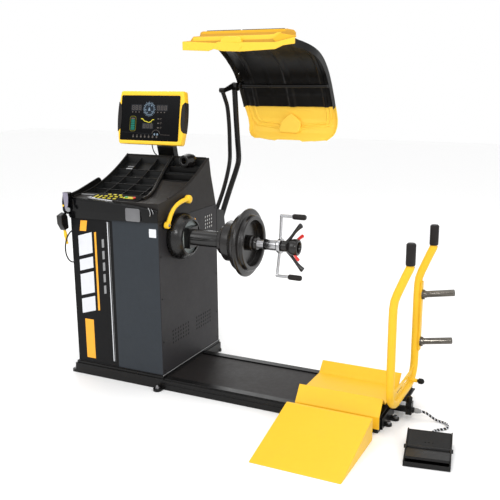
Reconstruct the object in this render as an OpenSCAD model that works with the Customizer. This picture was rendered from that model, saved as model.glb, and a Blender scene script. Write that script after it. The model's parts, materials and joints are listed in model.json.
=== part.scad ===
// Truck wheel balancer: cabinet with weight tray and display, horizontal spindle,
// swing-over wheel guard, floor track with a sliding lift cradle, ramp and air pedal.
// Axes: +X along the spindle, away from the cabinet; +Y to the back; +Z up.
// All modules are drawn in the machine frame: X = 0 is the cabinet's spindle side,
// Y = 0 its front face, Z = 0 the floor. place() moves the origin to the middle of the footprint.

/* [Cabinet] */
// Cabinet width along the spindle
cab_w = 542; // [500:1:600]
// Cabinet depth
cab_d = 600; // [580:1:620]
// Height of the plinth under the cabinet
plinth_h = 70; // [60:1:80]
// Height of the sheet-metal body, floor to moulding
cab_h = 877; // [860:1:890]
// Sheet thickness of the cabinet panels
sheet = 3; // [2:0.5:4]

/* [Spindle] */
// Height of the spindle axis above the floor
axis_z = 778; // [760:1:800]
// Distance of the spindle axis behind the cabinet front
axis_y = 185; // [170:1:200]
// Spindle shaft diameter
shaft_d = 40; // [40:1:40]
// Diameter of the big adapter disc
disc_d = 340; // [320:1:352]
// Diameter of the clamping ring on the disc
ring_d = 276; // [270:1:281]

/* [Floor track] */
// Length of the track beyond the cabinet
track_l = 1150; // [1100:1:1160]
// Width over the two rails
track_w = 459; // [440:1:470]
// Height of the rails
rail_h = 60; // [50:1:60]

/* [Lift cradle] */
// Left end of the cradle
cr_x0 = 745; // [740:1:760]
// Length of the cradle along the track
cr_l = 411; // [400:1:412]

/* [Ramp] */
// Left side of the ramp
ramp_x0 = 734; // [720:1:740]
// Ramp width
ramp_w = 412; // [380:1:420]
// Ramp length
ramp_l = 413; // [380:1:430]
// Ramp height at the back
ramp_h = 107; // [90:1:110]

/* [Push handle] */
// Tube diameter of the push handle
tube_d = 38; // [32:1:40]
// Distance between the two legs, centre to centre
leg_gap = 431; // [420:1:440]
// Height of the grip ends above the floor
grip_z = 893; // [860:1:900]

/* [Wheel guard] */
// Left side of the guard
hood_x0 = 5; // [0:1:10]
// Right side of the guard
hood_x1 = 545; // [530:1:560]
// Height of the guard's cross rod when open
rod_z = 1522; // [1515:1:1530]

/* [Hidden] */
$fn = 48;
cx = 462.356;
cy = 294;

ys = axis_y;
zs = axis_z;
rail_y0 = -12;                    // front face of the front rail
rail_y1 = rail_y0 + track_w;      // back face of the rear rail
arm_x = -25;                      // plane of the guard's arms
a1 = [668, 712];                  // lower pivot of the guard arm (y, z)
link_x = -58.3;                   // plane of the guard's link
a2 = [657.6, 771.1];                  // lower end of the guard link (y, z)
b2 = [797.0, 1498.2];                 // upper pivot of the guard link (y, z)
leg_y0 = 3;                       // front leg of the push handle
leg_y1 = leg_y0 + leg_gap;
han_x = 1195;                     // plane of the handle's legs
cr_x1 = cr_x0 + cr_l;

module place() translate([-cx, -cy, 0]) children();
// extrude a (y, z) outline along X
module ex(x0, x1) translate([x0, 0, 0]) rotate([90, 0, 90]) linear_extrude(x1 - x0) children();
// cylinder along X, centred on (y, z)
module cylx(x0, x1, r, y = ys, z = zs) translate([x0, y, z]) rotate([0, 90, 0]) cylinder(h = x1 - x0, r = r);
module box(a, b) translate(a) cube([b[0] - a[0], b[1] - a[1], b[2] - a[2]]);
// straight rod between two points
function unit(v) = v / norm(v);
module rod(a, b, r) {
  d = b - a;
  translate(a) rotate([0, acos(d[2] / norm(d)), atan2(d[1], d[0])]) cylinder(h = norm(d), r = r);
}
// bent tube: rods with ball joints at the bends
module bent(pts, r) {
  for (i = [0:len(pts) - 2]) rod(pts[i], pts[i + 1], r);
  for (i = [1:len(pts) - 2]) translate(pts[i]) sphere(r = r);
}
// height of the tray's rim above the floor at depth y
function rimz(y) = 971 + 0.012 * y + 0.00061 * y * y;
function rimpts(d, y0, y1, n = 12) = [for (i = [0:n]) let (y = y0 + (y1 - y0) * i / n) [y, rimz(y) + d]];
function rev(v) = [for (i = [len(v) - 1:-1:0]) v[i]];
// band between the rim curve lowered by a and by b
module band(a, b, y0, y1) polygon(concat(rimpts(-a, y0, y1), rev(rimpts(-b, y0, y1))));

// ------------------------------------------------------------------ base
module base_plinth() place() color("#141414") {
  box([-560, rail_y0, 0], [6, 612, 56]);
  box([-552, -6, 56], [2, 606, plinth_h - 0.5]);
  for (p = [[-572, 10], [-572, 560], [-40, 634]]) difference() {
    hull() { translate([p[0], p[1], 0]) cylinder(h = 12, r = 22); translate([p[0] + 30, p[1] + (p[1] > 600 ? -30 : 0), 0]) cylinder(h = 12, r = 22); }
    translate([p[0], p[1], -1]) cylinder(h = 14, r = 7);
  }
  difference() {
    hull() { translate([-18, -34, 0]) cylinder(h = 12, r = 22); translate([-18, -8, 0]) cylinder(h = 12, r = 22); }
    translate([-18, -34, -1]) cylinder(h = 14, r = 7);
  }
}
module rail_profile() polygon([[0, 0], [52, 0], [52, 53], [46, 53], [46, rail_h], [6, rail_h], [6, 52], [0, 52], [0, 38], [4, 36], [4, 30], [0, 28]]);
module rails() place() color("#181818") {
  ex(6.3, track_l) translate([rail_y0, 0]) rail_profile();
  ex(6.3, track_l) translate([rail_y1, 0]) mirror([1, 0]) rail_profile();
}
module deck_plate() place() color("#2b2827") {
  box([6.3, rail_y0 + 52.3, 30], [track_l - 4, rail_y1 - 52.3, 54]);
}
module bolt_head(p, r = 11, h = 9) translate(p) { cylinder(h = 2.5, r = r + 3); translate([0, 0, 2.5]) cylinder(h = h - 2.5, r = r, $fn = 6); translate([0, 0, -20]) cylinder(h = 22, r = 6); }
module anchor_bolts() place() color("silver") {
  for (p = [[-572, 10], [-572, 560], [-40, 634], [-18, -34]]) translate([p[0], p[1], 0]) { translate([0, 0, 0.5]) cylinder(h = 14, r = 6); translate([0, 0, 12.3]) cylinder(h = 2.5, r = 12); translate([0, 0, 14.5]) cylinder(h = 8, r = 9.5, $fn = 6); translate([0, 0, 14]) cylinder(h = 16, r = 6); }
  for (p = [[1184, 158], [1172, 86]]) translate([p[0], p[1], 0]) { translate([0, 0, 0.5]) cylinder(h = 14, r = 6); translate([0, 0, 12.3]) cylinder(h = 2.5, r = 12); translate([0, 0, 14.5]) cylinder(h = 8, r = 9.5, $fn = 6); }
}
module end_bracket() place() color("#121212") {
  difference() {
    union() {
      box([track_l + 0.2, 30, 0], [track_l + 8, 226, 56]);
      hull() { translate([1172, 86, 0]) cylinder(h = 12, r = 15); translate([1158, 86, 0]) cylinder(h = 12, r = 15); }
      hull() { translate([1184, 158, 0]) cylinder(h = 12, r = 17); translate([1158, 158, 0]) cylinder(h = 12, r = 17); }
      box([track_l + 0.2, 196, 30], [1222, 214, 56]);
    }
    translate([1172, 86, -1]) cylinder(h = 14, r = 6.2);
    translate([1184, 158, -1]) cylinder(h = 14, r = 6.2);
    box([1100, 0, -1], [track_l + 0.2, 300, 60]);
  }
}
module air_valve() place() color("#1a1a1a") {
  box([1222.2, 186, 24], [1250, 222, 84]);
  translate([1236, 204, 84]) cylinder(h = 22, r = 13);
  translate([1236, 204, 104]) cylinder(h = 6, r1 = 13, r2 = 9);
  translate([1232, 186, 50]) rotate([90, 0, 0]) cylinder(h = 14, r = 9);
  color("#8f9190") { cylx(1250, 1258, 14, 206, 44); translate([1258, 206, 44]) rotate([0, 90, 0]) cylinder(h = 22, r = 11, $fn = 6); cylx(1280, 1290, 9, 206, 44); }
}
// route of the air hose from the valve's gland to the pedal
hose_pts = [[1290.8, 206, 44], [1304, 207, 43], [1318, 209, 38], [1332, 212, 29], [1346, 215, 19], [1361, 217, 11], [1377, 217, 7.5], [1393, 214, 7],
  [1408, 206, 7], [1419, 193, 7], [1424, 177, 7], [1421, 160, 7], [1412, 146, 7], [1399, 135, 7], [1386, 124, 7], [1377, 110, 7], [1373, 94, 7], [1372, 78, 7.5], [1373, 62, 9], [1374.5, 46, 12], [1377, 31, 14.5], [1380, 15, 15]];
module sweep(P, r, m = 10) {
  n = len(P);
  T = [for (i = [0:n - 1]) unit(P[min(i + 1, n - 1)] - P[max(i - 1, 0)])];
  U = [for (i = [0:n - 1]) unit(cross(T[i], [0, 0, 1]))];
  W = [for (i = [0:n - 1]) cross(U[i], T[i])];
  V = [for (i = [0:n - 1]) for (k = [0:m - 1]) P[i] + r * (cos(360 * k / m) * U[i] + sin(360 * k / m) * W[i])];
  F = concat([[for (k = [m - 1:-1:0]) k]], [for (i = [0:n - 2]) for (k = [0:m - 1]) let (a = i * m + k, b = i * m + (k + 1) % m) [a, b, b + m, a + m]], [[for (k = [0:m - 1]) (n - 1) * m + k]]);
  polyhedron(V, [for (f = F) rev(f)]);
}
module air_hose() place() color("#222222") sweep(hose_pts, 6.5, 10);
// pedal: drawn square at the origin of its own frame, then turned and moved
module at_pedal() translate([1402, -112, 0]) rotate([0, 0, 10]) children();
module pedal_base() place() color("#101010") at_pedal() difference() {
  union() {
    box([-96, -122, 0], [96, 122, 8]);
    for (s = [-1, 1]) ex(s * 94 - 3, s * 94 + 3) polygon([[-122, 0], [122, 0], [122, 58], [98, 60], [20, 40], [-20, 40], [-98, 30], [-122, 26]]);
    box([-96, -122, 0], [96, -118, 22]);
    box([-96, 118, 0], [96, 122, 54]);
    for (s = [-1, 1]) translate([s * 97 - (s > 0 ? 0 : 6), 0, 30]) rotate([0, 90, 0]) cylinder(h = 6, r = 9);
  }
  cylx(-110, 110, 5.05, 0, 30);
}
module pedal_rocker() place() color("#1c1b1a") at_pedal() {
  difference() {
    ex(-90, 90) polygon([[-112, 33], [-14, 24], [14, 24], [112, 52], [112, 57], [12, 31], [-12, 31], [-112, 38]]);
    for (x = [-16, 0, 16]) translate([x, 40, 30]) cylinder(h = 40, r = 2.6);
  }
  box([-90, -113, 33], [90, -110, 44]);
  cylx(-90, 90, 7.5, 0, 30);
  cylx(-102, 102, 5, 0, 30);
}
module ramp() place() color("#ffcf2e") {
  difference() {
    ex(ramp_x0, ramp_x0 + ramp_w) polygon([[-85 - ramp_l, 0], [-85, 0], [-85, ramp_h], [-97, ramp_h]]);
    ex(ramp_x0 + 5, ramp_x0 + ramp_w - 5) polygon([[-85 - ramp_l + 60, -1], [-90, -1], [-90, ramp_h - 9], [-98, ramp_h - 9]]);
  }
  // hooks that hold the ramp against the front rail
  for (x = [ramp_x0 + 40, ramp_x0 + ramp_w - 60]) box([x, -85, 6], [x + 40, rail_y0 - 0.3, 16]);
}

// ------------------------------------------------------------------ cabinet
module cabinet_front() place() color("#3a3f44") {
  box([-cab_w + sheet, 0, plinth_h], [-sheet, sheet, cab_h]);
}
// slanted louvre slots through a side panel
module slots(y0, z0, n, m, dy, dz, w, h) for (i = [0:n - 1]) for (j = [0:m - 1])
  translate([-10, y0 + i * dy, z0 + j * dz + i * dy * 0.0]) rotate([-35, 0, 0]) cube([20, w, h]);
module cabinet_right() place() color("#403f41") difference() {
  ex(-sheet, 0) polygon([[0, plinth_h], [cab_d, plinth_h], [596, cab_h], [0, cab_h]]);
  translate([-10, ys, zs]) rotate([0, 90, 0]) cylinder(h = 20, r = 62);
  cylx(-10, 10, 9, gy, gz - 44);
  slots(100, 216, 7, 4, 26, 21, 6, 13);
  slots(346, 216, 7, 4, 25, 21, 6, 13);
  slots(466, 762, 4, 4, 23, 20, 6, 12);
}
module cabinet_left() place() color("#3a3f44") {
  ex(-cab_w, -cab_w + sheet) polygon([[0, plinth_h], [cab_d, plinth_h], [596, cab_h], [0, cab_h]]);
  // entry blocks of the looped lead
  for (z = [lead_hi, lead_lo]) box([-cab_w - 22, 30, z - 11], [-cab_w, 58, z + 11]);
}
// lead that loops down in front of the left side panel
lead_hi = 788;
lead_lo = 616;
side_route = [[29.7, 788], [20, 787], [8, 783], [-4, 776], [-15, 766], [-25, 753], [-33, 738], [-38, 721], [-40, 703], [-39, 685], [-35, 668], [-28, 652], [-18, 638], [-6, 627], [7, 620], [19, 617], [29.7, 616]];
module side_lead() place() color("#1a1a1a") sweep([for (q = side_route) [-cab_w - 15, q[0], q[1]]], 3.5, 8);
module cabinet_rear() place() color("#333638") difference() {
  ex(-cab_w + sheet, -sheet) polygon([[cab_d - sheet, plinth_h], [cab_d, plinth_h], [596, cab_h], [596 - sheet, cab_h]]);
  translate([-430, 620, 230]) rotate([90, 0, 0]) cylinder(h = 40, r = 13);
}
module inner_frame() place() color("#1d1d1d") {
  difference() {
    box([-210, 120, plinth_h], [-30, 250, 735]);
    box([-200, 112, plinth_h + 12], [-40, 258, 715]);
    box([-190, 100, plinth_h - 1], [-50, 270, 700]);
  }
  box([-180, 250, 430], [-60, 380, 442]);
}
module top_cover() place() color("#3b3735") difference() {
  ex(-cab_w, 0) polygon(concat([[0, cab_h + 0.3], [0, rimz(0)]], rimpts(0, 6, 525), [[529, 1143], [546, 1048], [596, cab_h + 0.3]]));
  ex(-cab_w + 5, -5) polygon(concat([[5, cab_h - 1], [5, rimz(5) - 6]], rimpts(-44, 12, 500), [[522, 1120], [540, 1047], [590, cab_h - 1]]));
  ex(-cab_w + 12, -12) polygon(concat(rimpts(-60, 118, 512), rev(rimpts(20, 118, 512))));
}
// pocket tray: curved floor with walls between the pockets
tray_x = [-cab_w + 12.3, -432, -322, -212];
tray_y = [118.3, 200, 275, 345, 415, 511.7];
module weight_tray() place() color("#232322") {
  ex(-cab_w + 12.3, -12.3) band(40, 36, 118.3, 511.7);
  for (x = [-cab_w + 12.3, -15.3]) ex(x, x + 3) band(37, 3, 118.3, 511.7);
  for (x = [-432, -322, -212]) ex(x, x + 3) band(37, 9, 118.3, 511.7);
  for (y = [118.3, 200, 272, 342, 412, 508.7]) box([-cab_w + 12.3, y, rimz(y) - 38], [-12.3, y + 3, rimz(y) - (y < 119 || y > 500 ? 3 : 9)]);
}
module front_lip() place() color("#0d0d0d") {
  difference() {
    hull() {
      translate([-cab_w + 8, -8, 868]) cube([cab_w - 16, 7.7, 104]);
      translate([-cab_w + 60, -26, 874]) cube([cab_w - 120, 20, 90]);
      translate([-cab_w + 20, -20, 930]) cube([cab_w - 40, 10, 56]);
    }
    hull() {
      translate([-cab_w + 30, -14, 955]) cube([cab_w - 60, 14, 60]);
    }
  }
}
module keypad_panel() place() color("#111111") difference() {
  ex(-440, -120) polygon([[6, rimz(6) + 0.3], [112, rimz(112) + 0.3], [112, rimz(112) + 5], [6, rimz(6) + 5]]);
  for (x = [-225, -178]) translate([x, 60, rimz(60) + 3.3]) rotate([6, 0, 0]) translate([0, 0, -12]) cylinder(h = 30, r = 8.4);
}
module key_at(x, c) translate([x, 60, rimz(60) + 3.3]) rotate([6, 0, 0]) color(c) { cylinder(h = 7, r = 8); translate([0, 0, 7]) cylinder(h = 1.5, r1 = 8, r2 = 6.5); }
module key_start() place() key_at(-225, "#1fa34a");
module key_stop() place() key_at(-178, "#cc2a20");

module display_post() place() color("#141414") {
  ex(-345, -240) polygon([[598.5, 800], [640, 800], [640, 1000], [583, 1200], [583, 1400], [543, 1400], [543, 1190], [598.5, 990]]);
  ex(-345, -240) polygon([[492.2, 1330], [543, 1330], [543, 1390], [502.8, 1390]]);
}
// display head, leaning back
module at_display() translate([-302, 424, 1360]) rotate([-10, 0, 0]) children();
module display_housing() place() color("#ffd22e") at_display() difference() {
  hull() {
    for (sx = [-1, 1]) for (sz = [-1, 1]) translate([sx * 203, 0, sz * 133]) rotate([-90, 0, 0]) cylinder(h = 40, r = 12, $fn = 32);
    for (sx = [-1, 1]) for (sz = [-1, 1]) translate([sx * 170, 40, sz * 105]) rotate([-90, 0, 0]) cylinder(h = 32, r = 12, $fn = 32);
  }
  box([-195, -1, -118], [180, 8, 120]);
}
module display_glass() place() color("#050505") at_display() box([-194.7, 1, -117.7], [179.7, 7.7, 119.7]);
module display_lead() place() color("#555555") sweep([[-330, 467, 1224.5], [-330, 469, 1214], [-330.5, 473, 1200], [-332, 481, 1184], [-334, 493, 1169], [-336, 505, 1158], [-337, 515, 1152], [-338, 524, 1149.5]], 3, 8);

// ------------------------------------------------------------------ spindle and drive
module shroud() place() color("#171513") difference() {
  translate([0, ys, zs]) rotate([0, 90, 0]) rotate_extrude() polygon([[112, 0.3], [119, 4], [121, 16], [121, 30], [118, 44], [112, 57], [104, 68], [96, 76], [90, 79], [85, 79], [85, 75], [91, 71], [100, 63], [107, 54], [113, 42], [116, 30], [116, 15], [114, 6], [108, 0.3]]);
}
module shroud_plate() place() color("#9fa8a3") difference() {
  cylx(56, 60, 98);
  box([40, ys - 42.2, zs - 53.7], [80, ys + 42.2, zs + 53.7]);
}
module spindle_housing() place() color("#15110f") difference() {
  union() {
    cylx(-200, 257, 42);
    box([0.3, ys - 42, zs - 53.5], [94, ys + 42, zs + 53.5]);
  }
  cylx(-201, 258, 34);
}
module bearings() place() color("#c9ccd0") for (x = [-190, 225]) difference() { cylx(x, x + 25, 34); cylx(x - 1, x + 26, 20.05); }
module shaft_bar() place() color("#b9bcc0") {
  difference() { cylx(-300, 640, shaft_d / 2); cylx(628, 641, 6); }
  cylx(-224, -191, 26);
}
module adapter_disc() place() color("#1b1714") difference() {
  translate([0, ys, zs]) rotate([0, 90, 0]) rotate_extrude($fn = 96) polygon([[20.05, 258], [66, 258], [70, 262], [70, 291], [94, 291], [102, 299], [102, 336], [108, 343], [124, 350], [140, 362], [150, 378], [156, 392], [disc_d / 2 - 6, 396], [disc_d / 2, 400], [disc_d / 2, 408], [disc_d / 2 - 5, 413], [ring_d / 2 + 4, 416], [ring_d / 2, 420], [ring_d / 2, 434], [ring_d / 2 - 4, 438], [118, 438], [114, 434], [112, 404], [38.3, 404], [20.05, 404]]);
}
module centring_cone() place() color("#14110f") translate([0, ys, zs]) rotate([0, 90, 0]) rotate_extrude($fn = 64) polygon([[20.05, 404.2], [38, 404.2], [38, 430], [34, 436], [34, 446], [30, 458], [20.05, 458]]);
// the shaft is turned in one piece with its belt pulley
module main_shaft() { shaft_bar(); pulley_end(); }
module pulley_end() place() color("#8b8d90") difference() { union() { cylx(-262, -258, 80); cylx(-258, -234, 75); cylx(-234, -230, 80); } cylx(-263, -229, 20); }
mot = [330, 520];
module belt_loop(o) { hull() { translate([ys, zs]) circle(r = 75.4 + o); translate(mot) circle(r = 30.4 + o); } }
module drive_belt() place() color("#101010") ex(-256, -236) difference() { belt_loop(4); belt_loop(0); }
module motor() place() color("#3c4a55") {
  cylx(-216, -60, 62, mot[0], mot[1]);
  cylx(-222, -216, 50, mot[0], mot[1]);
  box([-180, mot[0] - 40, 442.2], [-80, mot[0] + 40, 470]);
}
module motor_pulley() place() color("#9a9da0") { cylx(-262, -259, 35, mot[0], mot[1]); cylx(-259, -233, 30, mot[0], mot[1]); cylx(-233, -230, 35, mot[0], mot[1]); cylx(-230, -222.3, 9, mot[0], mot[1]); }
// crank nut with its two crank arms
ca = 10;   // lean of the crank arms from vertical
module at_axis() translate([0, ys, zs]) children();
module crank_nut() place() color("#d0d2d4") at_axis() rotate([-ca, 0, 0]) {
  difference() {
    union() {
      cylx(496, 562, 27, 0, 0);
      translate([562, 0, 0]) rotate([0, 90, 0]) cylinder(h = 8, r1 = 27, r2 = 37);
      cylx(570, 586, 37, 0, 0);
    }
    cylx(490, 590, 20.6, 0, 0);
  }
  for (s = [1, -1]) {
    rod([576, 0, s * 30], [572, 0, s * 146], 7);
    translate([572, 0, s * 146]) sphere(r = 8);
    rod([572, 0, s * 146], [632, 0, s * 146], 7.3);
  }
}
module crank_grips() place() color("#161616") at_axis() rotate([-ca, 0, 0]) for (s = [1, -1])
  translate([632.2, 0, s * 146]) rotate([0, 90, 0]) union() { cylinder(h = 6, r1 = 10, r2 = 13.5); translate([0, 0, 6]) cylinder(h = 56, r = 13.5); translate([0, 0, 62]) cylinder(h = 6, r1 = 13.5, r2 = 9); }
module quick_nut() place() color("#1a1817") at_axis() difference() {
  union() {
    translate([586.3, 0, 0]) rotate([0, 90, 0]) cylinder(h = 14, r1 = 28, r2 = 30);
    translate([600.3, 0, 0]) rotate([0, 90, 0]) cylinder(h = 44, r1 = 30, r2 = 41);
    cylx(644.3, 668, 41, 0, 0);
    translate([668, 0, 0]) rotate([0, 90, 0]) cylinder(h = 8, r1 = 41, r2 = 36);
    for (s = [1, -1]) rotate([s > 0 ? 6 : 6, 0, 0]) { rod([618, 0, s * 26], [672, 0, s * 92], 9); rod([668, 0, s * 87], [686, 0, s * 109], 11.5); translate([686, 0, s * 109]) sphere(r = 12.3); }
  }
  cylx(580, 690, 20.6, 0, 0);
  cylx(640, 690, 26, 0, 0);
  for (s = [1, -1]) rotate([s > 0 ? -28 : -28, 0, 0]) box([647, -6.4, s > 0 ? 30 : -60], [690, 6.4, s > 0 ? 60 : -30]);
}
module lever(s) place() color("#d8261e") at_axis() rotate([-28, 0, 0]) {
  translate([655, -6, s * 36]) rotate([-90, 0, 0]) cylinder(h = 12, r = 5.4);
  rod([655, 0, s * 36], [684, 0, s * 62], 4.6);
  translate([684, 0, s * 62]) sphere(r = 6.2);
}
module lever_upper() lever(1);
module lever_lower() lever(-1);

// ------------------------------------------------------------------ distance gauge
gy = 52; gz = 902;
module gauge_rod() place() color("#cfd2d4") { cylx(-330, 34, 8, gy, gz - 44); cylx(-336, -330, 14, gy, gz - 44); }
module gauge_arm() place() color("#ffcc2e") {
  difference() {
    union() {
      cylx(9, 31, 15, gy, gz - 44);
      ex(11, 29) polygon([[40, 862], [62, 850], [88, 892], [128, 926], [170, 943], [250, 952], [246, 974], [160, 968], [108, 946], [70, 908]]);
      cylx(6, 34, 22, 262, 958);
    }
    cylx(0, 40, 8.05, gy, gz - 44);
  }
}

// ------------------------------------------------------------------ wheel guard
gp = [[430, 1790], [500, 1782], [560, 1766], [620, 1750], [673, 1733], [735, 1710], [790, 1688], [835, 1662], [873, 1632], [906, 1600], [935, 1563], [962, 1523], [986, 1482], [1008, 1443], [1026, 1405]];
function inset(P, d) = [for (i = [0:len(P) - 1]) let (t = unit(P[min(i + 1, len(P) - 1)] - P[max(i - 1, 0)])) P[i] + d * [t[1], -t[0]]];
module guard_band(a, b) polygon(concat(inset(gp, a), rev(inset(gp, b))));
module guard_shell() place() color("#1c1a19") {
  ex(hood_x0, hood_x1) guard_band(0, 5);
  difference() { ex(hood_x0, hood_x0 + 5) guard_band(4, 40); cylx(hood_x0 - 1, hood_x0 + 6, 11.1, 915, rod_z); }
  ex(hood_x1 - 5, hood_x1) guard_band(4, 40);
  for (x = [150, 265, 380]) ex(x, x + 14) guard_band(4, 12);
}
module guard_cap_top() place() color("#ffcb2d") {
  difference() {
    hull() {
      box([-88, 420, 1716], [545, 432, 1752]);
      box([-20, 422, 1740], [540, 560, 1797]);
      box([40, 470, 1780], [500, 560, 1812]);
    }
    ex(-200, 700) polygon(concat([[330, 1600], [440, 1728]], inset(gp, -0.3), [[1100, 1400], [1100, 1200]]));
    ex(-84, 541) polygon([[426, 1700], [426, 1740], [560, 1745], [560, 1700]]);
  }
}
module guard_cap_low() place() color("#ffc94a") {
  difference() {
    hull() {
      box([hood_x0 - 2, 1000, 1390], [hood_x1 + 4, 1042, 1404.6]);
      box([hood_x0 + 20, 1058, 1290], [hood_x1 + 4, 1086, 1310]);
      box([hood_x0 + 40, 1040, 1236], [hood_x1 - 8, 1066, 1250]);
      box([hood_x0 + 130, 1010, 1208], [hood_x1 - 120, 1030, 1230]);
    }
    hull() {
      box([hood_x0 + 6, 940, 1385], [hood_x1 - 5, 1032, 1420]);
      box([hood_x0 + 30, 940, 1290], [hood_x1 - 8, 1074, 1310]);
      box([hood_x0 + 50, 940, 1248], [hood_x1 - 20, 1052, 1260]);
      box([hood_x0 + 140, 940, 1224], [hood_x1 - 130, 1018, 1232]);
    }
  }
}
module guard_rod() place() color("#121212") {
  cylx(-38, hood_x1 - 5.3, 11, 915, rod_z);
  // bracket between the arms' heads
  difference() {
    union() {
      hull() { translate([-46, b2[0], b2[1] - 12]) cube([6, 1, 24]); translate([-46, 905, 1506]) cube([6, 24, 34]); }
      cylx(-46, -40, 14, b2[0], b2[1]);
    }
    cylx(-60, -20, 6.05, b2[0], b2[1]);
  }
  cylx(-46, -38, 20, 915, rod_z);
}
// points along a smooth curve through P, k steps per span
function smooth(P, k) = [for (i = [0:len(P) - 2]) for (j = [0:k - 1]) let (t = j / k, a = P[max(i - 1, 0)], b = P[i], c = P[i + 1], d = P[min(i + 2, len(P) - 1)])
  0.5 * ((2 * b) + (c - a) * t + (2 * a - 5 * b + 4 * c - d) * t * t + (3 * b - a - 3 * c + d) * t * t * t), P[len(P) - 1]];
module sweepx(P, r, m = 12) {
  n = len(P);
  T = [for (i = [0:n - 1]) unit(P[min(i + 1, n - 1)] - P[max(i - 1, 0)])];
  U = [for (i = [0:n - 1]) unit([1, 0, 0] - T[i][0] * T[i])];
  V = [for (i = [0:n - 1]) for (k = [0:m - 1]) P[i] + r * (cos(360 * k / m) * U[i] + sin(360 * k / m) * cross(T[i], U[i]))];
  F = concat([[for (k = [m - 1:-1:0]) k]], [for (i = [0:n - 2]) for (k = [0:m - 1]) let (a = i * m + k, b = i * m + (k + 1) % m) [a, b, b + m, a + m]], [[for (k = [0:m - 1]) (n - 1) * m + k]]);
  polyhedron(V, [for (f = F) rev(f)]);
}
module guard_arm() place() color("#131211") {
  difference() {
    sweepx(smooth([[arm_x, a1[0] + 6, a1[1] + 14], [arm_x, 713, 800], [arm_x, 812, 930], [arm_x, 900, 1038], [arm_x, 930, 1100], [arm_x, 918, 1210], [arm_x, 904, 1330], [arm_x, 888, 1500]], 4), 16);
    cylx(arm_x - 20, arm_x + 20, 12, a1[0], a1[1]);
  }
  difference() { cylx(arm_x - 16, arm_x + 16, 22, a1[0], a1[1]); cylx(arm_x - 20, arm_x + 20, 10.05, a1[0], a1[1]); }
  difference() { cylx(arm_x - 12.8, arm_x + 14, 24, 905, rod_z - 6); cylx(arm_x - 20, arm_x + 20, 11.1, 915, rod_z); }
}
module guard_link() place() color("#131211") {
  difference() {
    union() {
      sweepx(smooth([[link_x, a2[0] + 5, a2[1] + 6], [link_x, 779.8, 908.9], [link_x, 846.8, 1012.5], [link_x, 879.3, 1091.8], [link_x, 882.4, 1173.1], [link_x, 877.3, 1295.0], [link_x, 860.0, 1396.6], [link_x, 828.5, 1453.5], [link_x, b2[0], b2[1]]], 4), 12);
      cylx(link_x - 13, link_x + 12, 15, a2[0], a2[1]);
    }
    // the lower eye is loose on its pin
    cylx(link_x - 20, link_x + 20, 8.5, a2[0], a2[1]);
  }
  cylx(link_x - 13, link_x + 12, 14, b2[0], b2[1]);
  cylx(-47, -38.5, 6, b2[0], b2[1]);
}
module arm_mount() place() color("#1b1b1b") {
  difference() {
    ex(arm_x - 26, arm_x - 19) polygon([[600.3, 655], [640, 655], [700, 690], [700, 738], [684, 745], [600.3, 745]]);
    cylx(arm_x - 30, arm_x, 10, a1[0], a1[1]);
  }
  difference() {
    ex(arm_x + 18.3, arm_x + 25.3) polygon([[600.3, 655], [640, 655], [700, 690], [700, 738], [684, 830], [600.3, 850]]);
    cylx(arm_x, arm_x + 30, 10, a1[0], a1[1]);
  }
  cylx(arm_x - 30, arm_x + 29, 10, a1[0], a1[1]);
  ex(-82, -75) polygon([[600.3, 740], [640, 744], [675.6, 753.1], [675.6, 787.1], [640, 800], [600.3, 850]]);
  cylx(-79, link_x + 14, 4.5, a2[0], a2[1]);
  box([-90, 600.3, 640], [-1, 606, 860]);
}

// ------------------------------------------------------------------ carriage, lift and handle
module carriage_frame() place() color("#2a2a2a") {
  difference() {
    box([cr_x0 + 6, 6, 64], [cr_x1 - 6, 424, 70]);
  }
  for (x = [cr_x0 + 20, cr_x1 - 80]) for (y = [rail_y0 + 10, rail_y1 - 42]) box([x, max(y, 6), rail_h + 0.3], [x + 60, min(y + 32, 424), 64]);
  box([cr_x1 - 6.2, 240, 64], [1214, 400, 70]);
  box([1190, 240, 70], [1200, 400, 94]);
}
module lift_bags() place() color("#191919") for (x = [cr_x0 + 100, cr_x1 - 100]) { translate([x, 190, 70.2]) cylinder(h = 34, r = 62); }
cr_pts = [[-18, 22], [-18, 81], [36, 150], [80, 110], [296, 110], [345, 160], [349, 160], [349, 155], [298, 105], [78, 105], [36, 143], [-14, 79], [-14, 22]];
module cradle() place() color("#ffcd2c") ex(cr_x0, cr_x1) polygon(cr_pts);
module handle_tube() place() color("#ffcc2a") {
  r = tube_d / 2;
  R = 100;
  leg = [[0, 112 + R], [0, 300], [0, 420], [0, 530], [1, 592], [5, 628], [16, 662], [34, 706], [52, 750], [62, 772], [67, 784], [68, 792]];
  path = concat([for (i = [len(leg) - 1:-1:0]) [han_x + leg[i][0], leg_y0, leg[i][1]]],
    [for (a = [15:15:90]) [han_x, leg_y0 + R - R * cos(a), 112 + R - R * sin(a)]],
    [for (a = [90:-15:15]) [han_x, leg_y1 - R + R * cos(a), 112 + R - R * sin(a)]],
    [for (p = leg) [han_x + p[0], leg_y1, p[1]]]);
  difference() {
    union() {
      sweepx(path, r, 20);
      for (y = [leg_y0, leg_y1]) translate([han_x + 68, y, 784]) cylinder(h = grip_z - 793, r = 15.5);
      cylx(1190, 1233, 9.5, 352, 132);
    }
    cylx(1206, 1240, 5.1, 352, 132);
  }
  // gusset with two slots inside the bottom bend
  difference() {
    ex(han_x - 3, han_x + 3) polygon([[60, 126], [380, 126], [420, 196], [392, 176], [50, 176], [16, 196]]);
    for (y = [110, 240]) box([han_x - 10, y, 146], [han_x + 10, y + 90, 160]);
  }
  // strip on the rear leg that carries the pegs
  ex(1214.5, 1220) polygon([[leg_y1 - 17, 262], [leg_y1 + 17, 262], [leg_y1 + 17, 610], [leg_y1 - 17, 610]]);
  box([1204, leg_y1 - 12, 270], [1215, leg_y1 + 12, 604]);
}
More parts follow.
